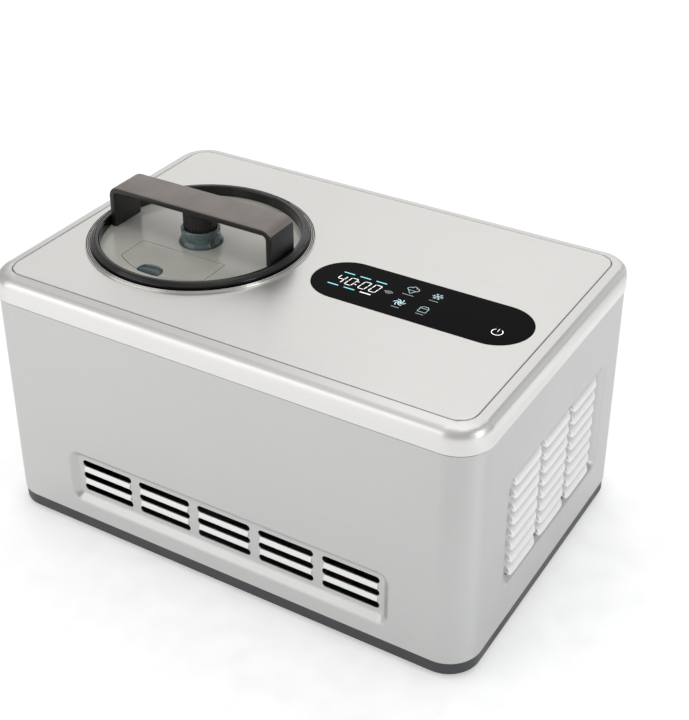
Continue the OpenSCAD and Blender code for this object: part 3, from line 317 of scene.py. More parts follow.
def makeBrushLines():
    # fine scratches along a sheet, with broader streaks between them
    sizes = {"fine": 1.0, "fineDetail": 2.0, "broad": 0.21, "broadDetail": 3.0, "broadShare": 0.45}
    group, source, sink = newGroup("brushLines", [
        ("Vector", "NodeSocketVector", None), ("Stretch", "NodeSocketVector", (1, 1, 1))], ["Tone", "Height"])
    place, stretch = source.outputs["Vector"], source.outputs["Stretch"]
    fine = addNoise(group, place, stretch, sizes["fine"], sizes["fineDetail"], "fineScratch")
    broad = addNoise(group, place, stretch, sizes["broad"], sizes["broadDetail"], "broadStreak")
    group.links.new(blendValues(group, fine, broad, sizes["broadShare"]), sink.inputs["Tone"])
    group.links.new(fine, sink.inputs["Height"])
    return group


def makeSmudges():
    # wide soft patches where the surface has been wiped or handled
    sizes = {"cloud": 1.0, "detail": 4.0, "clear": 0.42, "full": 0.68}
    group, source, sink = newGroup("smudges", [
        ("Vector", "NodeSocketVector", None), ("Scale", "NodeSocketVector", (20, 20, 20))], ["Mask"])
    cloud = addNoise(group, source.outputs["Vector"], source.outputs["Scale"], sizes["cloud"], sizes["detail"],
                     "wipeCloud")
    ramp = group.nodes.new("ShaderNodeMapRange")
    ramp.inputs["From Min"].default_value = sizes["clear"]
    ramp.inputs["From Max"].default_value = sizes["full"]
    group.links.new(cloud, ramp.inputs["Value"])
    group.links.new(ramp.outputs["Result"], sink.inputs["Mask"])
    return group


def makeMouldGrain():
    # the fine pebbled texture of moulded plastic, rubber and cast metal
    sizes = {"pebble": 1.0, "pebbleDetail": 1.0, "patch": 0.03, "patchDetail": 3.0}
    group, source, sink = newGroup("mouldGrain", [
        ("Vector", "NodeSocketVector", None), ("Scale", "NodeSocketVector", (1500, 1500, 1500))],
        ["Height", "Mask"])
    place, scale = source.outputs["Vector"], source.outputs["Scale"]
    pebble = addNoise(group, place, scale, sizes["pebble"], sizes["pebbleDetail"], "pebble")
    patch = addNoise(group, place, scale, sizes["patch"], sizes["patchDetail"], "patch")
    group.links.new(pebble, sink.inputs["Height"])
    group.links.new(patch, sink.inputs["Mask"])
    return group


brushLines, smudges, mouldGrain = makeBrushLines(), makeSmudges(), makeMouldGrain()


# materials
def startMaterial(name, roughness, metallic=0.0, **sockets):
    # constants go straight onto the shader's own sockets
    material = bpy.data.materials.new(name)
    material.use_nodes = True
    tree = material.node_tree
    shader = tree.nodes["Principled BSDF"]
    shader.inputs["Roughness"].default_value = roughness
    shader.inputs["Metallic"].default_value = metallic
    for label, value in sockets.items():
        shader.inputs[label].default_value = value
    place = tree.nodes.new("ShaderNodeTexCoord").outputs["Object"]
    return material, tree, shader, place


def addGroup(tree, group, place, label, stretch):
    node = tree.nodes.new("ShaderNodeGroup")
    node.node_tree = group
    tree.links.new(place, node.inputs["Vector"])
    node.inputs[label].default_value = stretch
    return node


def spreadValue(tree, value, low, high, target):
    # turns a 0 to 1 pattern into a range on a shader socket
    spread = tree.nodes.new("ShaderNodeMapRange")
    spread.inputs["To Min"].default_value = low
    spread.inputs["To Max"].default_value = high
    tree.links.new(value, spread.inputs["Value"])
    tree.links.new(spread.outputs["Result"], target)


def spreadColour(tree, value, colour, amount, target):
    # varies a colour lighter and darker by amount
    mix = tree.nodes.new("ShaderNodeMix")
    mix.data_type = "RGBA"
    mix.inputs[6].default_value = (*[c * (1 - amount) for c in colour], 1)
    mix.inputs[7].default_value = (*[min(1, c * (1 + amount)) for c in colour], 1)
    tree.links.new(value, mix.inputs["Factor"])
    tree.links.new(mix.outputs[2], target)


def addBump(tree, height, strength, depth, shader):
    bump = tree.nodes.new("ShaderNodeBump")
    bump.inputs["Strength"].default_value = strength
    bump.inputs["Distance"].default_value = depth
    tree.links.new(height, bump.inputs["Height"])
    tree.links.new(bump.outputs["Normal"], shader.inputs["Normal"])


def brushedMetal(name, colour, roughness, stretch, contrast=0.05, bump=0.12, gloss=None):
    # gloss gives the axis that the sheet turns round and how far its shine is drawn out
    sizes = {"wiped": 9, "wipedShare": 0.25, "roughSpread": 0.07, "scratch": 0.05 * mm}
    material, tree, shader, place = startMaterial(name, roughness, 1.0)
    if gloss:
        tangent = tree.nodes.new("ShaderNodeTangent")
        tangent.direction_type = "RADIAL"
        tangent.axis = gloss["axis"]
        tree.links.new(tangent.outputs[0], shader.inputs["Tangent"])
        shader.inputs["Anisotropic"].default_value = gloss["stretch"]
        shader.inputs["Anisotropic Rotation"].default_value = gloss["turn"]
    lines = addGroup(tree, brushLines, place, "Stretch", stretch)
    wiped = addGroup(tree, smudges, place, "Scale", (sizes["wiped"],) * 3)
    spreadColour(tree, lines.outputs["Tone"], colour, contrast, shader.inputs["Base Color"])
    both = tree.nodes.new("ShaderNodeMath")
    both.operation = "MULTIPLY_ADD"
    both.inputs[1].default_value = sizes["wipedShare"]
    tree.links.new(wiped.outputs["Mask"], both.inputs[0])
    tree.links.new(lines.outputs["Tone"], both.inputs[2])
    spreadValue(tree, both.outputs[0], roughness - sizes["roughSpread"], roughness + sizes["roughSpread"],
                shader.inputs["Roughness"])
    addBump(tree, lines.outputs["Height"], bump, sizes["scratch"], shader)
    return material


def mouldedPlastic(name, colour, roughness, grain=1500, bump=0.1, **sockets):
    sizes = {"wiped": 35, "contrast": 0.12, "smoother": 0.04, "rougher": 0.09, "pebble": 0.04 * mm}
    material, tree, shader, place = startMaterial(name, roughness, **sockets)
    pebbles = addGroup(tree, mouldGrain, place, "Scale", (grain,) * 3)
    wiped = addGroup(tree, smudges, place, "Scale", (sizes["wiped"],) * 3)
    spreadColour(tree, pebbles.outputs["Mask"], colour, sizes["contrast"], shader.inputs["Base Color"])
    spreadValue(tree, wiped.outputs["Mask"], roughness - sizes["smoother"], roughness + sizes["rougher"],
                shader.inputs["Roughness"])
    addBump(tree, pebbles.outputs["Height"], bump, sizes["pebble"], shader)
    return material


def clearPlastic(name, colour, roughness, clear):
    material, tree, shader, place = startMaterial(name, roughness)
    shader.inputs["Transmission Weight"].default_value = clear
    shader.inputs["IOR"].default_value = 1.49  # acrylic
    wiped = addGroup(tree, smudges, place, "Scale", (28, 28, 28))
    spreadColour(tree, wiped.outputs["Mask"], colour, 0.04, shader.inputs["Base Color"])
    spreadValue(tree, wiped.outputs["Mask"], roughness, roughness + 0.06, shader.inputs["Roughness"])
    return material


def glowingMark(name, colour, strength):
    material, tree, shader, place = startMaterial(name, 0.4)
    cells = addGroup(tree, mouldGrain, place, "Scale", (2600, 2600, 2600))
    spreadColour(tree, cells.outputs["Height"], colour, 0.08, shader.inputs["Emission Color"])
    shader.inputs["Base Color"].default_value = (*colour, 1)
    shader.inputs["Emission Strength"].default_value = strength
    return material


# the walls' steel is given a darker tone and the cover's a lighter one than the one sheet has: painted shade on
# the walls and painted light on the cover
wallShadedSteel = brushedMetal("wallShadedSteel", (0.555, 0.56, 0.55), 0.36, (22, 22, 1500), 0.05, 0.10,
                         {"axis": "Z", "stretch": 0.7, "turn": 0.25})
# the hoods and slot bars get a lighter tone than the wall steel they are pressed from: painted light where they
# face the light from above
louvreLitSteel = brushedMetal("louvreLitSteel", (0.80, 0.80, 0.79), 0.42, (22, 22, 1500), 0.04, 0.08)
topLitSteel = brushedMetal("topLitSteel", (0.74, 0.73, 0.715), 0.36, (20, 1300, 1300), 0.05, 0.10,
                        {"axis": "X", "stretch": 0.6, "turn": 0.0})
bowlSteel = brushedMetal("bowlSteel", (0.66, 0.67, 0.68), 0.26, (60, 60, 1800))
trimChrome = brushedMetal("trimChrome", (0.62, 0.60, 0.57), 0.2, (300, 300, 300), 0.03, 0.03)
# a dark steel laid in the cover's pressed line as painted shade
creaseShade = brushedMetal("creaseShade", (0.20, 0.195, 0.19), 0.5, (20, 900, 900), 0.08, 0.1)
shaftSteel = brushedMetal("shaftSteel", (0.60, 0.61, 0.62), 0.24, (80, 80, 2400))
motorSteel = brushedMetal("motorSteel", (0.45, 0.46, 0.47), 0.34, (60, 60, 1500))
zincSteel = brushedMetal("zincSteel", (0.50, 0.51, 0.52), 0.35, (900, 900, 900), 0.06, 0.05)
wellAluminium = brushedMetal("wellAluminium", (0.70, 0.71, 0.72), 0.34, (70, 70, 1300))
finAluminium = brushedMetal("finAluminium", (0.66, 0.67, 0.68), 0.32, (400, 400, 900))
copperTube = brushedMetal("copperTube", (0.72, 0.36, 0.20), 0.28, (500, 500, 500), 0.1, 0.06)
bushBronze = brushedMetal("bushBronze", (0.50, 0.35, 0.16), 0.42, (900, 900, 900), 0.1, 0.05)
castGrey = brushedMetal("castGrey", (0.27, 0.28, 0.29), 0.52, (700, 700, 700), 0.1, 0.2)
trayPlastic = mouldedPlastic("trayPlastic", (0.034, 0.035, 0.039), 0.48)
framePlastic = mouldedPlastic("framePlastic", (0.02, 0.02, 0.022), 0.5)
collarPlastic = mouldedPlastic("collarPlastic", (0.012, 0.013, 0.014), 0.3)
rimBlack = mouldedPlastic("rimBlack", (0.004, 0.0042, 0.0045), 0.12, 900, 0.02)
postBlack = mouldedPlastic("postBlack", (0.013, 0.012, 0.012), 0.3, 1200, 0.05)
# the handle's lighter top and near-black sides are one part: painted light on the top and painted shade on the
# sides
handleLitPearl = mouldedPlastic("handleLitPearl", (0.21, 0.185, 0.168), 0.4, 2200, 0.06, metallic=0.45)
handleShadedDark = mouldedPlastic("handleShadedDark", (0.010, 0.0095, 0.010), 0.34, 1500, 0.03)
footRubber = mouldedPlastic("footRubber", (0.02, 0.02, 0.02), 0.72, 1000, 0.25)
gasketRubber = mouldedPlastic("gasketRubber", (0.26, 0.28, 0.29), 0.6, 1000, 0.15)
glassBlack = mouldedPlastic("glassBlack", (0.0012, 0.0012, 0.0014), 0.12, 500, 0.0,
                            **{"IOR": 1.12, "Specular IOR Level": 0.3})
# the boards and their parts are darkened as painted shade, for the inside seen through the slots
boardShadedGreen = mouldedPlastic("boardShadedGreen", (0.006, 0.03, 0.016), 0.5, 600, 0.1)
partsShadedDark = mouldedPlastic("partsShadedDark", (0.035, 0.022, 0.014), 0.45, 900, 0.1)
rearPaint = mouldedPlastic("rearPaint", (0.032, 0.034, 0.037), 0.5, 1100, 0.2)
platePaint = mouldedPlastic("platePaint", (0.10, 0.105, 0.11), 0.46, 1100, 0.15)
compressorPaint = mouldedPlastic("compressorPaint", (0.014, 0.015, 0.017), 0.3, 700, 0.15)
fanPlastic = mouldedPlastic("fanPlastic", (0.022, 0.023, 0.025), 0.42)
foamCream = mouldedPlastic("foamCream", (0.66, 0.58, 0.40), 0.85, 450, 0.5)
gearAcetal = mouldedPlastic("gearAcetal", (0.74, 0.70, 0.58), 0.38, 900, 0.06)
paddlePlastic = mouldedPlastic("paddlePlastic", (0.72, 0.72, 0.69), 0.35, 1300, 0.06)
discSmoke = clearPlastic("discSmoke", (0.60, 0.585, 0.53), 0.14, 0.2)
collarClear = clearPlastic("collarClear", (0.50, 0.66, 0.67), 0.06, 0.85)
tabTeal = mouldedPlastic("tabTeal", (0.05, 0.075, 0.082), 0.2, 1200, 0.03)
markWhite = glowingMark("markWhite", (0.86, 0.89, 0.90), 0.95)
markCyan = glowingMark("markCyan", (0.22, 0.66, 0.74), 0.85)
markPale = glowingMark("markPale", (0.55, 0.70, 0.76), 0.7)
markFaint = glowingMark("markFaint", (0.30, 0.33, 0.34), 0.5)
floorPaper = mouldedPlastic("floorPaper", (0.86, 0.86, 0.86), 0.7, **{
    "Emission Color": (1, 1, 1, 1), "Emission Strength": 0.38})
print("materials: made")

nodeFinish = {
    "base_tray": trayPlastic, "feet": footRubber, "base_screws": zincSteel, "top_frame": framePlastic,
    "cover_nuts": zincSteel, "well_collar": collarPlastic, "control_tray": framePlastic,
    "control_board": boardShadedGreen, "rear_panel": rearPaint, "rear_screws": zincSteel, "mains_inlet": postBlack,
    "evaporator_well": wellAluminium, "evaporator_coil": copperTube, "well_foam": foamCream,
    "shaft_seal": footRubber, "gearbox_case": castGrey, "gearbox_cover": castGrey, "gearbox_screws": zincSteel,
    "shaft_bushings": bushBronze, "idler_pin": shaftSteel, "stir_motor": motorSteel,
    "compressor": compressorPaint, "compressor_plate": platePaint, "compressor_grommets": footRubber,
    "compressor_bolts": zincSteel, "relay_box": postBlack, "condenser_fins": finAluminium,
    "condenser_tube": copperTube, "fan_shroud": rearPaint, "fan_frame": fanPlastic, "fan_screws": zincSteel,
    "discharge_line": copperTube, "liquid_line": copperTube, "filter_drier": copperTube,
    "capillary_tube": copperTube, "suction_line": copperTube, "power_board": boardShadedGreen,
    "board_parts": partsShadedDark, "drive_shaft": shaftSteel, "output_gear": gearAcetal, "idler_gear": gearAcetal,
    "motor_pinion": shaftSteel, "fan_rotor": fanPlastic, "bowl": bowlSteel, "paddle": paddlePlastic,
    "lid_gasket": gasketRubber, "handle_screws": zincSteel, "lid_disc": discSmoke,
    "filling_flap": discSmoke,
}
for nodeName, finish in nodeFinish.items():
    nodes[nodeName].data.materials.clear()
    nodes[nodeName].data.materials.append(finish)


# housing
def easePocketEdges(bm, low, high, sizes):
    # rounds the pressed edges of the two vent recesses
    chosen = []
    for edge in bm.edges:
        if len(edge.link_faces) != 2:
            continue
        bend = math.degrees(edge.calc_face_angle(0))
        if not sizes["leastBend"] < bend < sizes["mostBend"]:
            continue
        onFront = all(abs(v.co.y - low.y) < sizes["flat"] for v in edge.verts)
        onFloor = all(abs(v.co.y - low.y - sizes["recess"]) < sizes["flat"] for v in edge.verts)
        onRight = all(abs(v.co.x - high.x) < sizes["flat"] for v in edge.verts)
        if onFront or onFloor or onRight:
            chosen.append(edge)
    bmesh.ops.bevel(bm, geom=chosen, offset=sizes["pressed"], segments=4, profile=0.5, affect="EDGES")


def makeHousing():
    sizes = {"trayEdge": 0.8 * mm, "pressed": 1.5 * mm, "recess": 5 * mm, "flat": 0.05 * mm,
             "leastBend": 25, "mostBend": 60}
    low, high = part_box("housing_wrap")
    wrap = softCopy("housing_wrap", "steelWrap", wallShadedSteel,
                    prepare=lambda bm: easePocketEdges(bm, low, high, sizes))
    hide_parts("housing_wrap")
    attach(wrap, "base")
    cover = softCopy("top_cover", "steelCover", topLitSteel)
    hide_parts("top_cover")
    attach(cover, "base")
    tray = softCopy("base_tray", "footTray", trayPlastic, sizes["trayEdge"])
    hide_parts("base_tray")
    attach(tray, "base")


def makeSheetLines():
    # a dark strip of painted shade in the pressed line round the flat of the cover, and the dark seal in the
    # seam below it
    sizes = {"inset": 12.9 * mm, "wide": 0.7 * mm, "sunk": 0.35 * mm, "deep": 1 * mm, "corner": 28 * mm,
             "sealWide": 3 * mm, "sealIn": 0.35 * mm, "seam": 1 * mm, "overlap": 0.05 * mm}
    halfX, halfY = coverHigh.x, coverHigh.y
    inset, inner = sizes["inset"], sizes["inset"] + sizes["wide"]
    creaseShadow = ringStrip("coverCreaseShadow",
                       roundedRectangle(halfX - inset, halfY - inset, sizes["corner"] - inset),
                       roundedRectangle(halfX - inner, halfY - inner, sizes["corner"] - inner),
                       coverHigh.z - sizes["deep"], coverHigh.z - sizes["sunk"], creaseShade)
    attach(creaseShadow, "base")
    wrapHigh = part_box("housing_wrap")[1]
    lipX, lipY = wrapHigh.x - sizes["sealIn"], wrapHigh.y - sizes["sealIn"]
    corner, wide = sizes["corner"] - (halfX - lipX), sizes["sealWide"]
    seal = ringStrip("seamSeal", roundedRectangle(lipX, lipY, corner),
                     roundedRectangle(lipX - wide, lipY - wide, corner - wide),
                     wrapHigh.z - sizes["overlap"], wrapHigh.z + sizes["seam"] + sizes["overlap"], footRubber)
    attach(seal, "base")


def gridValues(sizes, centre, turn):
    return {"Columns": sizes["columns"], "Rows": sizes["rows"], "Column Pitch": sizes["columnPitch"],
            "Row Pitch": sizes["rowPitch"], "Centre": centre, "Turn": turn}


def louvreHood(sizes):
    # one pressed hood, along X, with its foot up and its open lip down
    # both faces meet at the foot and the ends
    weld, sliver = 1e-6, 1e-7
    bm = bmesh.new()
    rows = [k / sizes["down"] for k in range(sizes["down"] + 1)]
    grid = []
    for face, order in (("outer", rows), ("inner", rows[::-1])):
        for fall in order:
            line = []
            for k in range(sizes["across"] + 1):
                along = math.sin(math.pi / 2 * (2 * k / sizes["across"] - 1))
                full = max(0.0, 1 - abs(along) ** sizes["square"]) ** (1 / sizes["square"])
                bulge = math.sin(fall * math.pi / 2) ** sizes["bulge"]
                rise = (sizes["rise"] + sizes["sink"]) * bulge * full
                if face == "inner":
                    rise = max(0.0, rise - sizes["sheet"])
                y = sizes["foot"] - fall * sizes["tall"] * (1 - sizes["endDrop"] * (1 - full))
                line.append(bm.verts.new((along * sizes["long"] / 2, y, rise - sizes["sink"])))
            grid.append(line)
    for here, there in zip(grid, grid[1:]):
        for k in range(sizes["across"]):
            bm.faces.new((here[k], here[k + 1], there[k + 1], there[k]))
    bmesh.ops.remove_doubles(bm, verts=bm.verts, dist=weld)
    bmesh.ops.dissolve_degenerate(bm, edges=bm.edges, dist=sliver)
    return bm


def slotBar(sizes):
    # a bar between two slots, along X, whose face leans back so that it catches the light from above
    bm = bmesh.new()
    half, tall, sink = sizes["long"] / 2, sizes["tall"] / 2, sizes["sink"]
    profile = roundedLoop([(-tall, -sink), (-tall, sizes["lip"]),
                           (-tall * sizes["crestAt"], sizes["lip"] + sizes["crest"]),
                           (tall, sizes["foot"]), (tall, -sink)], sizes["ease"], 3)
    ends = [[bm.verts.new((x * side, y, z)) for y, z in profile] for side, x in ((-1, half), (1, half))]
    count = len(profile)
    for k in range(count):
        nextK = (k + 1) % count
        bm.faces.new((ends[0][k], ends[1][k], ends[1][nextK], ends[0][nextK]))
    bm.faces.new(ends[0])
    bm.faces.new(ends[1][::-1])
    return bm


def makeSlotBars():
    sizes = {"columns": 5, "rows": 2, "columnPitch": 56.8 * mm, "rowPitch": 11.8 * mm, "middleX": 3 * mm,
             "middleZ": 54 * mm, "recess": 5 * mm, "long": 46 * mm, "tall": 4.9 * mm, "lip": 0.8 * mm,
             "foot": 0.1 * mm, "sink": 0.5 * mm, "crestAt": 0.6, "crest": 0.15 * mm, "ease": 0.5 * mm}
    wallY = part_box("housing_wrap")[0].y + sizes["recess"]
    bars = repeatShape(gridField, slotBar(sizes), "slotBars", louvreLitSteel, gridValues(
        sizes, (sizes["middleX"], wallY, sizes["middleZ"]), (math.pi / 2, 0, 0)), 50)
    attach(bars, "base")


def makeLouvres():
    sizes = {"columns": 3, "rows": 8, "columnPitch": 52.5 * mm, "rowPitch": 12 * mm, "middleY": 5 * mm,
             "middleZ": 98 * mm, "recess": 5 * mm, "long": 45.2 * mm, "tall": 9.6 * mm, "foot": 5.3 * mm,
             "rise": 4.75 * mm, "sheet": 0.8 * mm, "sink": 0.2 * mm, "square": 8, "bulge": 0.8,
             "endDrop": 0.2, "across": 20, "down": 7}
    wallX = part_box("housing_wrap")[1].x - sizes["recess"]
    hoods = repeatShape(gridField, louvreHood(sizes), "sideLouvres", louvreLitSteel, gridValues(
        sizes, (wallX, sizes["middleY"], sizes["middleZ"]), (math.pi / 2, 0, math.pi / 2)), 50)
    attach(hoods, "base")


makeHousing()
makeSheetLines()
makeSlotBars()
makeLouvres()
print("housing: wrap, cover, tray, seams and louvres")


# lid
def makeTrimRing():
    # fine bright ridges with grooves between them, the grooves painted black as painted shade
    sizes = {"width": 3.8 * mm, "ridges": 3, "dark": 0.36, "wall": 0.1 * mm, "shoulder": 0.35 * mm,
             "shoulderRise": 0.75, "grooveRise": 0.35, "darkInside": 0.02 * mm, "darkOutside": 0.06 * mm,
             "ease": 0.08 * mm}
    low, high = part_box("trim_ring")
    outer, rise = (high.x - low.x) / 2, high.z - low.z
    inner, pitch = outer - sizes["width"], sizes["width"] / sizes["ridges"]
    grooveTop = low.z + sizes["grooveRise"] * rise
    corners, shadeBands = [(inner, low.z), (outer, low.z)], []
    for ridge in range(sizes["ridges"]):
        edge = outer - ridge * pitch
        groove = edge - (1 - sizes["dark"]) * pitch
        corners += [(edge - sizes["wall"], low.z + sizes["shoulderRise"] * rise),
                    (edge - sizes["shoulder"], high.z), (groove + sizes["wall"], high.z), (groove, grooveTop)]
        if ridge < sizes["ridges"] - 1:
            corners.append((edge - pitch, grooveTop))
            shadeBands.append((edge - pitch - sizes["darkInside"], groove + sizes["darkOutside"]))
    corners.append((inner, grooveTop))
    shadeBands.append((inner - sizes["wall"], inner + sizes["dark"] * pitch))
    ring = lathe("trimRing", roundedLoop(corners, sizes["ease"], 2), (wellX, wellY), [trimChrome, rimBlack],
                 256, shadeBands=shadeBands)
    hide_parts("trim_ring")
    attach(ring, "base")


def makeLidRim():
    # the crown is steps in and down from the upper outer edge, in millimetres
    sizes = {"tuck": 2 * mm, "skirt": 2.5 * mm, "lift": 0.8 * mm, "easeIn": 0.9 * mm, "easeDown": 1.1 * mm,
             "ease": 0.3 * mm,
             "crown": ((0, 2.2), (1.1, 1.1), (1.5, 1.5), (2.0, 0.9), (3.0, 0.1), (3.5, 0.6), (4.0, 0))}
    outer, inner = (rimHigh.x - rimLow.x) / 2, (discHigh.x - discLow.x) / 2
    skirt, step, top = inner + sizes["skirt"], coverHigh.z + sizes["lift"], rimHigh.z
    corners = [(inner - sizes["tuck"], rimLow.z), (skirt, rimLow.z), (skirt, step), (outer, step)]
    corners += [(outer - across * mm, top - down * mm) for across, down in sizes["crown"]]
    corners += [(inner + sizes["easeIn"], top), (inner, top - sizes["easeDown"]), (inner, discLow.z),
                (inner - sizes["tuck"], discLow.z)]
    rim = lathe("lidRim", roundedLoop(corners, sizes["ease"], 3), (wellX, wellY), rimBlack, 256)
    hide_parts("lid_rim")
    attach(rim, "lid")


def makeFlapLedge():
    # the dark ledge under the disc, just outside the flap's outline
    sizes = {"half": 40 * mm, "hinge": 24.5 * mm, "reach": 66 * mm, "inside": 0.1 * mm, "outside": 1.3 * mm,
             "thick": 0.6 * mm, "under": 0.02 * mm, "steps": 40}

    def outline(grow):
        half, reach = sizes["half"] + grow, sizes["reach"] + grow
        side = math.acos(half / reach)
        arc = [(-reach * math.cos(side + (math.pi - 2 * side) * k / sizes["steps"]),
                -reach * math.sin(side + (math.pi - 2 * side) * k / sizes["steps"]))
               for k in range(sizes["steps"] + 1)]
        loop = [(-half, -sizes["hinge"] + grow)] + arc + [(half, -sizes["hinge"] + grow)]
        return [(wellX + x, wellY + y) for x, y in loop]

    ledge = ringStrip("flapLedge", outline(sizes["outside"]), outline(sizes["inside"]),
                      discLow.z - sizes["thick"], discLow.z - sizes["under"], footRubber)
    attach(ledge, "lid")


def makeHandle():
    low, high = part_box("lid_handle")
    sizes = {"thick": 5.5 * mm, "bend": 9 * mm, "round": 1.5 * mm, "bendSteps": 14, "litPearlFrom": 0.45}
    half = (high.x - low.x) / 2 - sizes["thick"] / 2
    top = high.z - sizes["thick"] / 2
    arc = sizes["bend"] - sizes["thick"] / 2
    path = [(-half, low.z, math.pi)]
    for side in (-1, 1):
        for step in range(sizes["bendSteps"] + 1):
            turn = math.pi / 2 * step / sizes["bendSteps"]
            angle = math.pi - turn if side < 0 else math.pi / 2 - turn
            path.append((side * (half - arc) + arc * math.cos(angle), top - arc + arc * math.sin(angle), angle))
    path.append((half, low.z, 0.0))
    depth = (high.y - low.y) / 2
    thin = sizes["thick"] / 2
    section = roundedLoop([(-depth, -thin), (depth, -thin), (depth, thin), (-depth, thin)], sizes["round"], 5)
    bm = bmesh.new()
    rings = []
    for x, z, angle in path:
        outX, outZ = math.cos(angle), math.sin(angle)
        rings.append([bm.verts.new((wellX + x + out * outX, (low.y + high.y) / 2 + y, z + out * outZ))
                      for y, out in section])
    count = len(section)
    for here, there in zip(rings, rings[1:]):
        for k in range(count):
            nextK = (k + 1) % count
            bm.faces.new((here[k], here[nextK], there[nextK], there[k]))
    bm.faces.new(rings[0][::-1])
    bm.faces.new(rings[-1])
    mesh = smoothMesh(bm, "lidHandle", 50)
    # faces that point up take the lighter pearl tone and all others the near-black one, so the split paints
    # light on the top and shade on the sides
    for polygon in mesh.polygons:
        polygon.material_index = 0 if polygon.normal.z > sizes["litPearlFrom"] else 1
    handle = addPiece("lidHandle", mesh, [handleLitPearl, handleShadedDark])
    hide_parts("lid_handle")
    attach(handle, "lid")


def makePost():
    sizes = {"bore": 6.1 * mm, "waist": 1 * mm, "flare": 0.8 * mm, "flareDown": 3 * mm, "lipDown": 1.2 * mm,
             "ease": 0.4 * mm, "ribs": 30, "ribWide": 1.1 * mm, "ribProud": 0.7 * mm, "ribSunk": 1.2 * mm,
             "ribFoot": 0.5 * mm, "ribDown": 3 * mm}
    low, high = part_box("handle_post")
    radius, bore = (high.x - low.x) / 2, sizes["bore"]
    corners = [(bore, low.z), (radius - sizes["waist"], low.z),
               (radius - sizes["flare"], high.z - sizes["flareDown"]), (radius, high.z - sizes["lipDown"]),
               (radius, high.z), (bore, high.z)]
    post = lathe("handlePost", roundedLoop(corners, sizes["ease"], 3), (wellX, wellY), postBlack, 96)
    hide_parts("handle_post")
    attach(post, "lid")
    rib = bmesh.new()
    sunk, proud, half = sizes["ribSunk"], sizes["ribProud"], sizes["ribWide"] / 2
    section = roundedLoop([(-sunk, -half), (proud, -half), (proud, half), (-sunk, half)], sizes["ease"], 2)
    extrudeLoop(rib, section, low.z + sizes["ribFoot"], high.z - sizes["ribDown"])
    ribs = repeatShape(ringField, rib, "postRibs", postBlack, {
        "Count": sizes["ribs"], "Radius": radius - sunk, "Centre": (wellX, wellY, 0), "Turn": (0, 0, 0)})
    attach(ribs, "lid")


def makeCollar():
    # the profile is steps in from the foot, in millimetres, each with its share of the height
    sizes = {"tuck": 2 * mm, "play": 0.1 * mm, "shelf": 0.52, "ease": 0.5 * mm,
             "profile": ((0, 0), (0.4, 0.1), (2.0, 0.34), (2.6, 0.55), (2.3, 0.9), (3.0, 1))}
    postLow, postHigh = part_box("handle_post")
    radius = (postHigh.x - postLow.x) / 2
    low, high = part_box("hub_collar")
    foot, rise = (high.x - low.x) / 2, high.z - low.z
    shelf = low.z + sizes["shelf"] * rise
    corners = [(radius - sizes["tuck"], low.z)]
    corners += [(foot - across * mm, low.z + share * rise) for across, share in sizes["profile"]]
    corners += [(radius + sizes["play"], high.z), (radius + sizes["play"], shelf),
                (radius - sizes["tuck"], shelf)]
    collar = lathe("hubCollar", roundedLoop(corners, sizes["ease"], 4), (wellX, wellY), collarClear, 128)
    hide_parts("hub_collar")
    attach(collar, "lid")


def makeTab():
    # a low shell with its straight side to the front
    sizes = {"around": 28, "across": 8, "edge": 0.5 * mm, "front": 0.35, "square": 0.8, "straight": 0.35,
             "dome": 2.6}
    low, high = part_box("flap_tab")
    halfX, deep, rise = (high.x - low.x) / 2, high.y - low.y, high.z - low.z
    middleX, middleY = (low.x + high.x) / 2, low.y + sizes["front"] * deep
    bm = bmesh.new()
    foot = bm.verts.new((middleX, middleY, low.z))
    top = bm.verts.new((middleX, middleY, high.z))
    rings = []
    for ring in range(1, sizes["across"] + 1):
        share = ring / sizes["across"]
        line = []
        for k in range(sizes["around"]):
            angle = 2 * math.pi * k / sizes["around"]
            x = math.copysign(abs(math.cos(angle)) ** sizes["square"], math.cos(angle)) * halfX * share
            up = math.sin(angle)
            y = (1 - sizes["front"]) * up if up > 0 else -sizes["front"] * abs(up) ** sizes["straight"]
            z = low.z + sizes["edge"] + (rise - sizes["edge"]) * math.sqrt(max(0.0, 1 - share ** sizes["dome"]))
            line.append(bm.verts.new((middleX + x, middleY + y * deep * share, z)))
        rings.append(line)
    rings.append([bm.verts.new((v.co.x, v.co.y, low.z)) for v in rings[-1]])
    for k in range(sizes["around"]):
        nextK = (k + 1) % sizes["around"]
        bm.faces.new((top, rings[0][k], rings[0][nextK]))
        for here, there in zip(rings, rings[1:]):
            bm.faces.new((here[k], there[k], there[nextK], here[nextK]))
        bm.faces.new((foot, rings[-1][nextK], rings[-1][k]))
    tab = addPiece("flapTab", smoothMesh(bm, "flapTab", 50), tabTeal)
    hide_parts("flap_tab")
    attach(tab, "flap")


makeTrimRing()
makeLidRim()
makeFlapLedge()
makeHandle()
makePost()
makeCollar()
makeTab()
print("lid: rim, disc, handle, post, collar, flap")


# control window
def makeWindow():
    sizes = {"edge": 0.35 * mm, "edgeSteps": 3}
    glass = softCopy("control_glass", "controlGlass", glassBlack, sizes["edge"], sizes["edgeSteps"])
    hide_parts("control_glass")
    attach(glass, "base")


def strokeLine(bm, points, width):
    # a thin raised line along points, given in metres on the glass
    sizes = {"cap": 0.9, "sunk": 0.02 * mm, "proud": 0.06 * mm}
    low, high = glassHigh.z - sizes["sunk"], glassHigh.z + sizes["proud"]
    for (x1, y1), (x2, y2) in zip(points, points[1:]):
        along = Vector((x2 - x1, y2 - y1)).normalized() * width / 2
        across = Vector((-along.y, along.x))
        start, end = Vector((x1, y1)) - along * sizes["cap"], Vector((x2, y2)) + along * sizes["cap"]
        extrudeLoop(bm, [tuple(start - across), tuple(end - across), tuple(end + across),
                         tuple(start + across)], low, high)


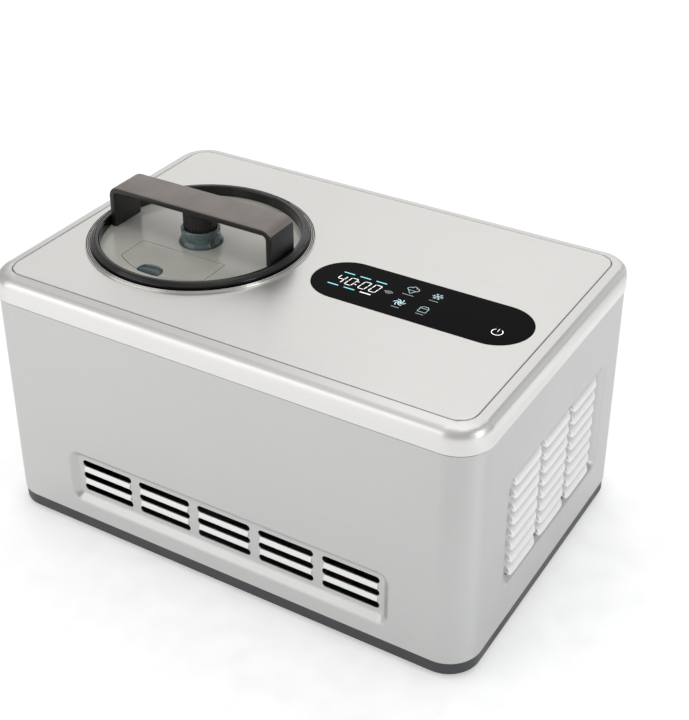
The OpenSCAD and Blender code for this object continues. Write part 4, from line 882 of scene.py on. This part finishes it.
def drawSign(bm, middle, lines, width):
    # lines are lists of (x, y) in millimetres from the middle of the sign
    for line in lines:
        strokeLine(bm, [(middle[0] + x * mm, middle[1] + y * mm) for x, y in line], width)


def heading(degrees):
    return Vector((math.cos(math.radians(degrees)), math.sin(math.radians(degrees))))


def arcLine(x, y, radius, start, end, steps):
    turns = [start + (end - start) * k / steps for k in range(steps + 1)]
    return [tuple(Vector((x, y)) + radius * heading(turn)) for turn in turns]


def snowflakeLines():
    sizes = {"spoke": 4.4, "twigAt": 2.3, "twig": 1.7, "twigTurns": (-40, 40)}
    lines = []
    for spoke in range(0, 360, 60):
        lines.append([(0, 0), tuple(sizes["spoke"] * heading(spoke))])
        root = sizes["twigAt"] * heading(spoke)
        for turn in sizes["twigTurns"]:
            lines.append([tuple(root), tuple(root + sizes["twig"] * heading(spoke + turn))])
    return lines


def stirLines():
    # six curved blades
    sizes = {"hub": 0.8, "blade": 3.8, "curl": 70, "steps": 5}
    return [[tuple((sizes["hub"] + sizes["blade"] * k / sizes["steps"])
                   * heading(start + sizes["curl"] * k / sizes["steps"])) for k in range(sizes["steps"] + 1)]
            for start in range(0, 360, 60)]


def addDigit(bm, figure, x, y, sizes):
    # the seven bars of one figure, in the usual order from the top clockwise, then the middle
    lit = {"0": "abcdef", "4": "bcfg"}[figure]
    wide, tall, slant = sizes["digitWide"], sizes["digitTall"], sizes["slant"]
    ends = {"a": ((0, 2), (1, 2)), "b": ((1, 2), (1, 1)), "c": ((1, 1), (1, 0)), "d": ((0, 0), (1, 0)),
            "e": ((0, 0), (0, 1)), "f": ((0, 1), (0, 2)), "g": ((0, 1), (1, 1))}
    for bar in lit:
        (u1, v1), (u2, v2) = ends[bar]
        start = Vector((x + u1 * wide + v1 * tall / 2 * slant, y + v1 * tall / 2))
        end = Vector((x + u2 * wide + v2 * tall / 2 * slant, y + v2 * tall / 2))
        trim = (end - start).normalized() * sizes["barGap"]
        strokeLine(bm, [tuple(start + trim), tuple(end - trim)], sizes["barWide"])


def drawClock(white, cyan, left, middle):
    # four figures with two dots, a row of lights above them and one below, whose last is white
    sizes = {"digitWide": 5.6 * mm, "digitTall": 11 * mm, "digitPitch": 9.4 * mm, "digitDown": 6.2 * mm,
             "barGap": 0.75 * mm, "barWide": 0.62 * mm, "slant": 0.12, "dotRoom": 2.2 * mm,
             "dotBack": 1.2 * mm, "dotHalf": 0.3 * mm, "dotWide": 0.9 * mm, "dotRises": (0.3, 0.72),
             "lights": 3, "lightIn": 1 * mm, "lightPitch": 14.2 * mm, "lightLong": 8.4 * mm,
             "lightWide": 1.05 * mm, "above": 9.8 * mm, "below": 10.6 * mm, "belowBack": 3 * mm}
    bottom = middle - sizes["digitDown"]
    for place, figure in enumerate("4000"):
        shift = place * sizes["digitPitch"] + (sizes["dotRoom"] if place > 1 else 0)
        addDigit(white, figure, left + shift, bottom, sizes)
    dotX = left + 2 * sizes["digitPitch"] - sizes["dotBack"]
    for rise in sizes["dotRises"]:
        dotY = bottom + rise * sizes["digitTall"]
        strokeLine(white, [(dotX - sizes["dotHalf"], dotY), (dotX + sizes["dotHalf"], dotY)], sizes["dotWide"])
    for place in range(sizes["lights"]):
        x = left + sizes["lightIn"] + place * sizes["lightPitch"]
        last = white if place == sizes["lights"] - 1 else cyan
        for bm, start, y in ((cyan, x, middle + sizes["above"]),
                             (last, x - sizes["belowBack"], middle - sizes["below"])):
            strokeLine(bm, [(start, y), (start + sizes["lightLong"], y)], sizes["lightWide"])


def makeMarks():
    # places are in millimetres from the middle of the glass
    sizes = {"clock": -72, "wireless": (-27, -2.6), "cone": (-12.5, 13), "snowflake": (8.5, 13),
             "stir": (-12.5, -9), "box": (8, -9), "power": (68.5, -9.7), "line": 0.3 * mm,
             "wirelessWide": 1.0 * mm, "stirWide": 0.6 * mm, "powerWide": 0.42 * mm, "captionWide": 0.6 * mm,
             "captions": ((-12.5, 4.0, 9), (8.5, 5.6, 7), (-12.5, -16.5, 6), (8, -16.3, 6))}
    middleX, middleY = (glassLow.x + glassHigh.x) / 2, (glassLow.y + glassHigh.y) / 2
    white, cyan, faint, pale = (bmesh.new() for layer in range(4))
    drawClock(white, cyan, middleX + sizes["clock"] * mm, middleY)
    cone = [arcLine(-2.6, 0.3, 2.2, 60, 250, 8), arcLine(2.6, 0.3, 2.2, -70, 120, 8),
            arcLine(0, 1.9, 2.3, 20, 160, 8), [(-3.2, -1.8), (0, -6.4), (3.2, -1.8)],
            [(-3.2, -1.8), (3.2, -1.8)]]
    box = [[(-3.4, -4), (3.4, -4), (3.4, 2), (1.8, 4), (-1.8, 4), (-3.4, 2), (-3.4, -4)],
           [(-3.4, 1.2), (3.4, 1.2)]]
    power = [arcLine(0, 0, 4.2, 125, 415, 24), [(0, 0.6), (0, 4.4)]]
    signs = [(faint, sizes["wireless"], [arcLine(0, 0, radius, 45, 135, 8) for radius in (1.3, 2.8, 4.3)],
              sizes["wirelessWide"]),
             (pale, sizes["cone"], cone, sizes["line"]),
             (pale, sizes["snowflake"], snowflakeLines(), sizes["line"]),
             (pale, sizes["stir"], stirLines(), sizes["stirWide"]), (pale, sizes["box"], box, sizes["line"]),
             (white, sizes["power"], power, sizes["powerWide"])]
    for x, y, length in sizes["captions"]:  # plain bars where each sign has its caption
        signs.append((faint, (x, y), [[(-length / 2, 0), (length / 2, 0)]], sizes["captionWide"]))
    for bm, (x, y), lines, width in signs:
        drawSign(bm, (middleX + x * mm, middleY + y * mm), lines, width)
    for label, bm, finish in (("whiteMarks", white, markWhite), ("cyanMarks", cyan, markCyan),
                              ("faintMarks", faint, markFaint), ("paleMarks", pale, markPale)):
        marks = addPiece(label, smoothMesh(bm, label), finish)
        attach(marks, "base")


makeWindow()
makeMarks()
print("window: glass and marks")


# stage
def makeStage():
    half = 6.0  # metres from the middle to the floor's sides
    bm = bmesh.new()
    bm.faces.new([bm.verts.new(corner) for corner in
                  ((-half, -half, 0), (half, -half, 0), (half, half, 0), (-half, half, 0))])
    floor = addPiece("paleFloor", smoothMesh(bm, "paleFloor"), floorPaper)


def addSoftbox(name, azimuth, elevation, distance, size, power, colour):
    turn, lift = math.radians(azimuth), math.radians(elevation)
    away = Vector((math.sin(turn) * math.cos(lift), -math.cos(turn) * math.cos(lift), math.sin(lift)))
    light = bpy.data.lights.new(name, "AREA")
    light.shape = "RECTANGLE"
    light.size, light.size_y = size
    light.energy = power
    light.color = colour
    lamp = bpy.data.objects.new(name, light)
    lamp.location = Vector((0, 0, 0.1)) + away * distance  # it looks at the middle of the object
    lamp.rotation_euler = away.to_track_quat("Z", "Y").to_euler()
    scene.collection.objects.link(lamp)


def makeLight():
    # degrees from the front towards the right side, degrees up, metres away, width and height, power, colour
    boxes = {
        "overheadBox": (180, 80, 1.9, (1.6, 1.6), 7.5, (1, 1, 1)),
        "backBox": (205, 30, 2.2, (2.8, 1.6), 8, (1.0, 0.99, 0.97)),
        "frontBox": (-34, 25, 2.0, (1.8, 1.4), 9, (1, 1, 1)),
        "rightBox": (84, 24, 1.9, (0.4, 1.2), 5, (0.93, 0.97, 1.0)),
        "farBox": (150, 18, 2.2, (1.0, 0.8), 1.2, (0.8, 0.92, 1.0)),
    }
    sky = bpy.data.worlds.new("studioSky")
    sky.use_nodes = True
    background = sky.node_tree.nodes["Background"]
    background.inputs["Color"].default_value = (1.0, 1.0, 1.0, 1)
    background.inputs["Strength"].default_value = 0.5
    scene.world = sky
    for name, values in boxes.items():
        addSoftbox(name, *values)


def makeCamera():
    # where the camera stands, in metres, and how far its frame is shifted down
    view = {"azimuth": 30.85, "elevation": 30.22, "place": (0.5192, -0.8209, 0.7641), "lens": 70.84,
            "shift": -0.0972, "sensor": 36}
    camera = bpy.data.objects.new("productCamera", bpy.data.cameras.new("productCamera"))
    azimuth, elevation = math.radians(view["azimuth"]), math.radians(view["elevation"])
    back = Vector((math.sin(azimuth) * math.cos(elevation), -math.cos(azimuth) * math.cos(elevation),
                   math.sin(elevation)))
    camera.location = view["place"]
    camera.rotation_euler = (-back).to_track_quat("-Z", "Y").to_euler()
    camera.data.lens = view["lens"]
    camera.data.sensor_width = view["sensor"]
    camera.data.shift_y = view["shift"]
    scene.collection.objects.link(camera)
    scene.camera = camera


makeStage()
makeLight()
makeCamera()
scene.view_settings.view_transform = "Standard"
print("stage: floor, light and camera")
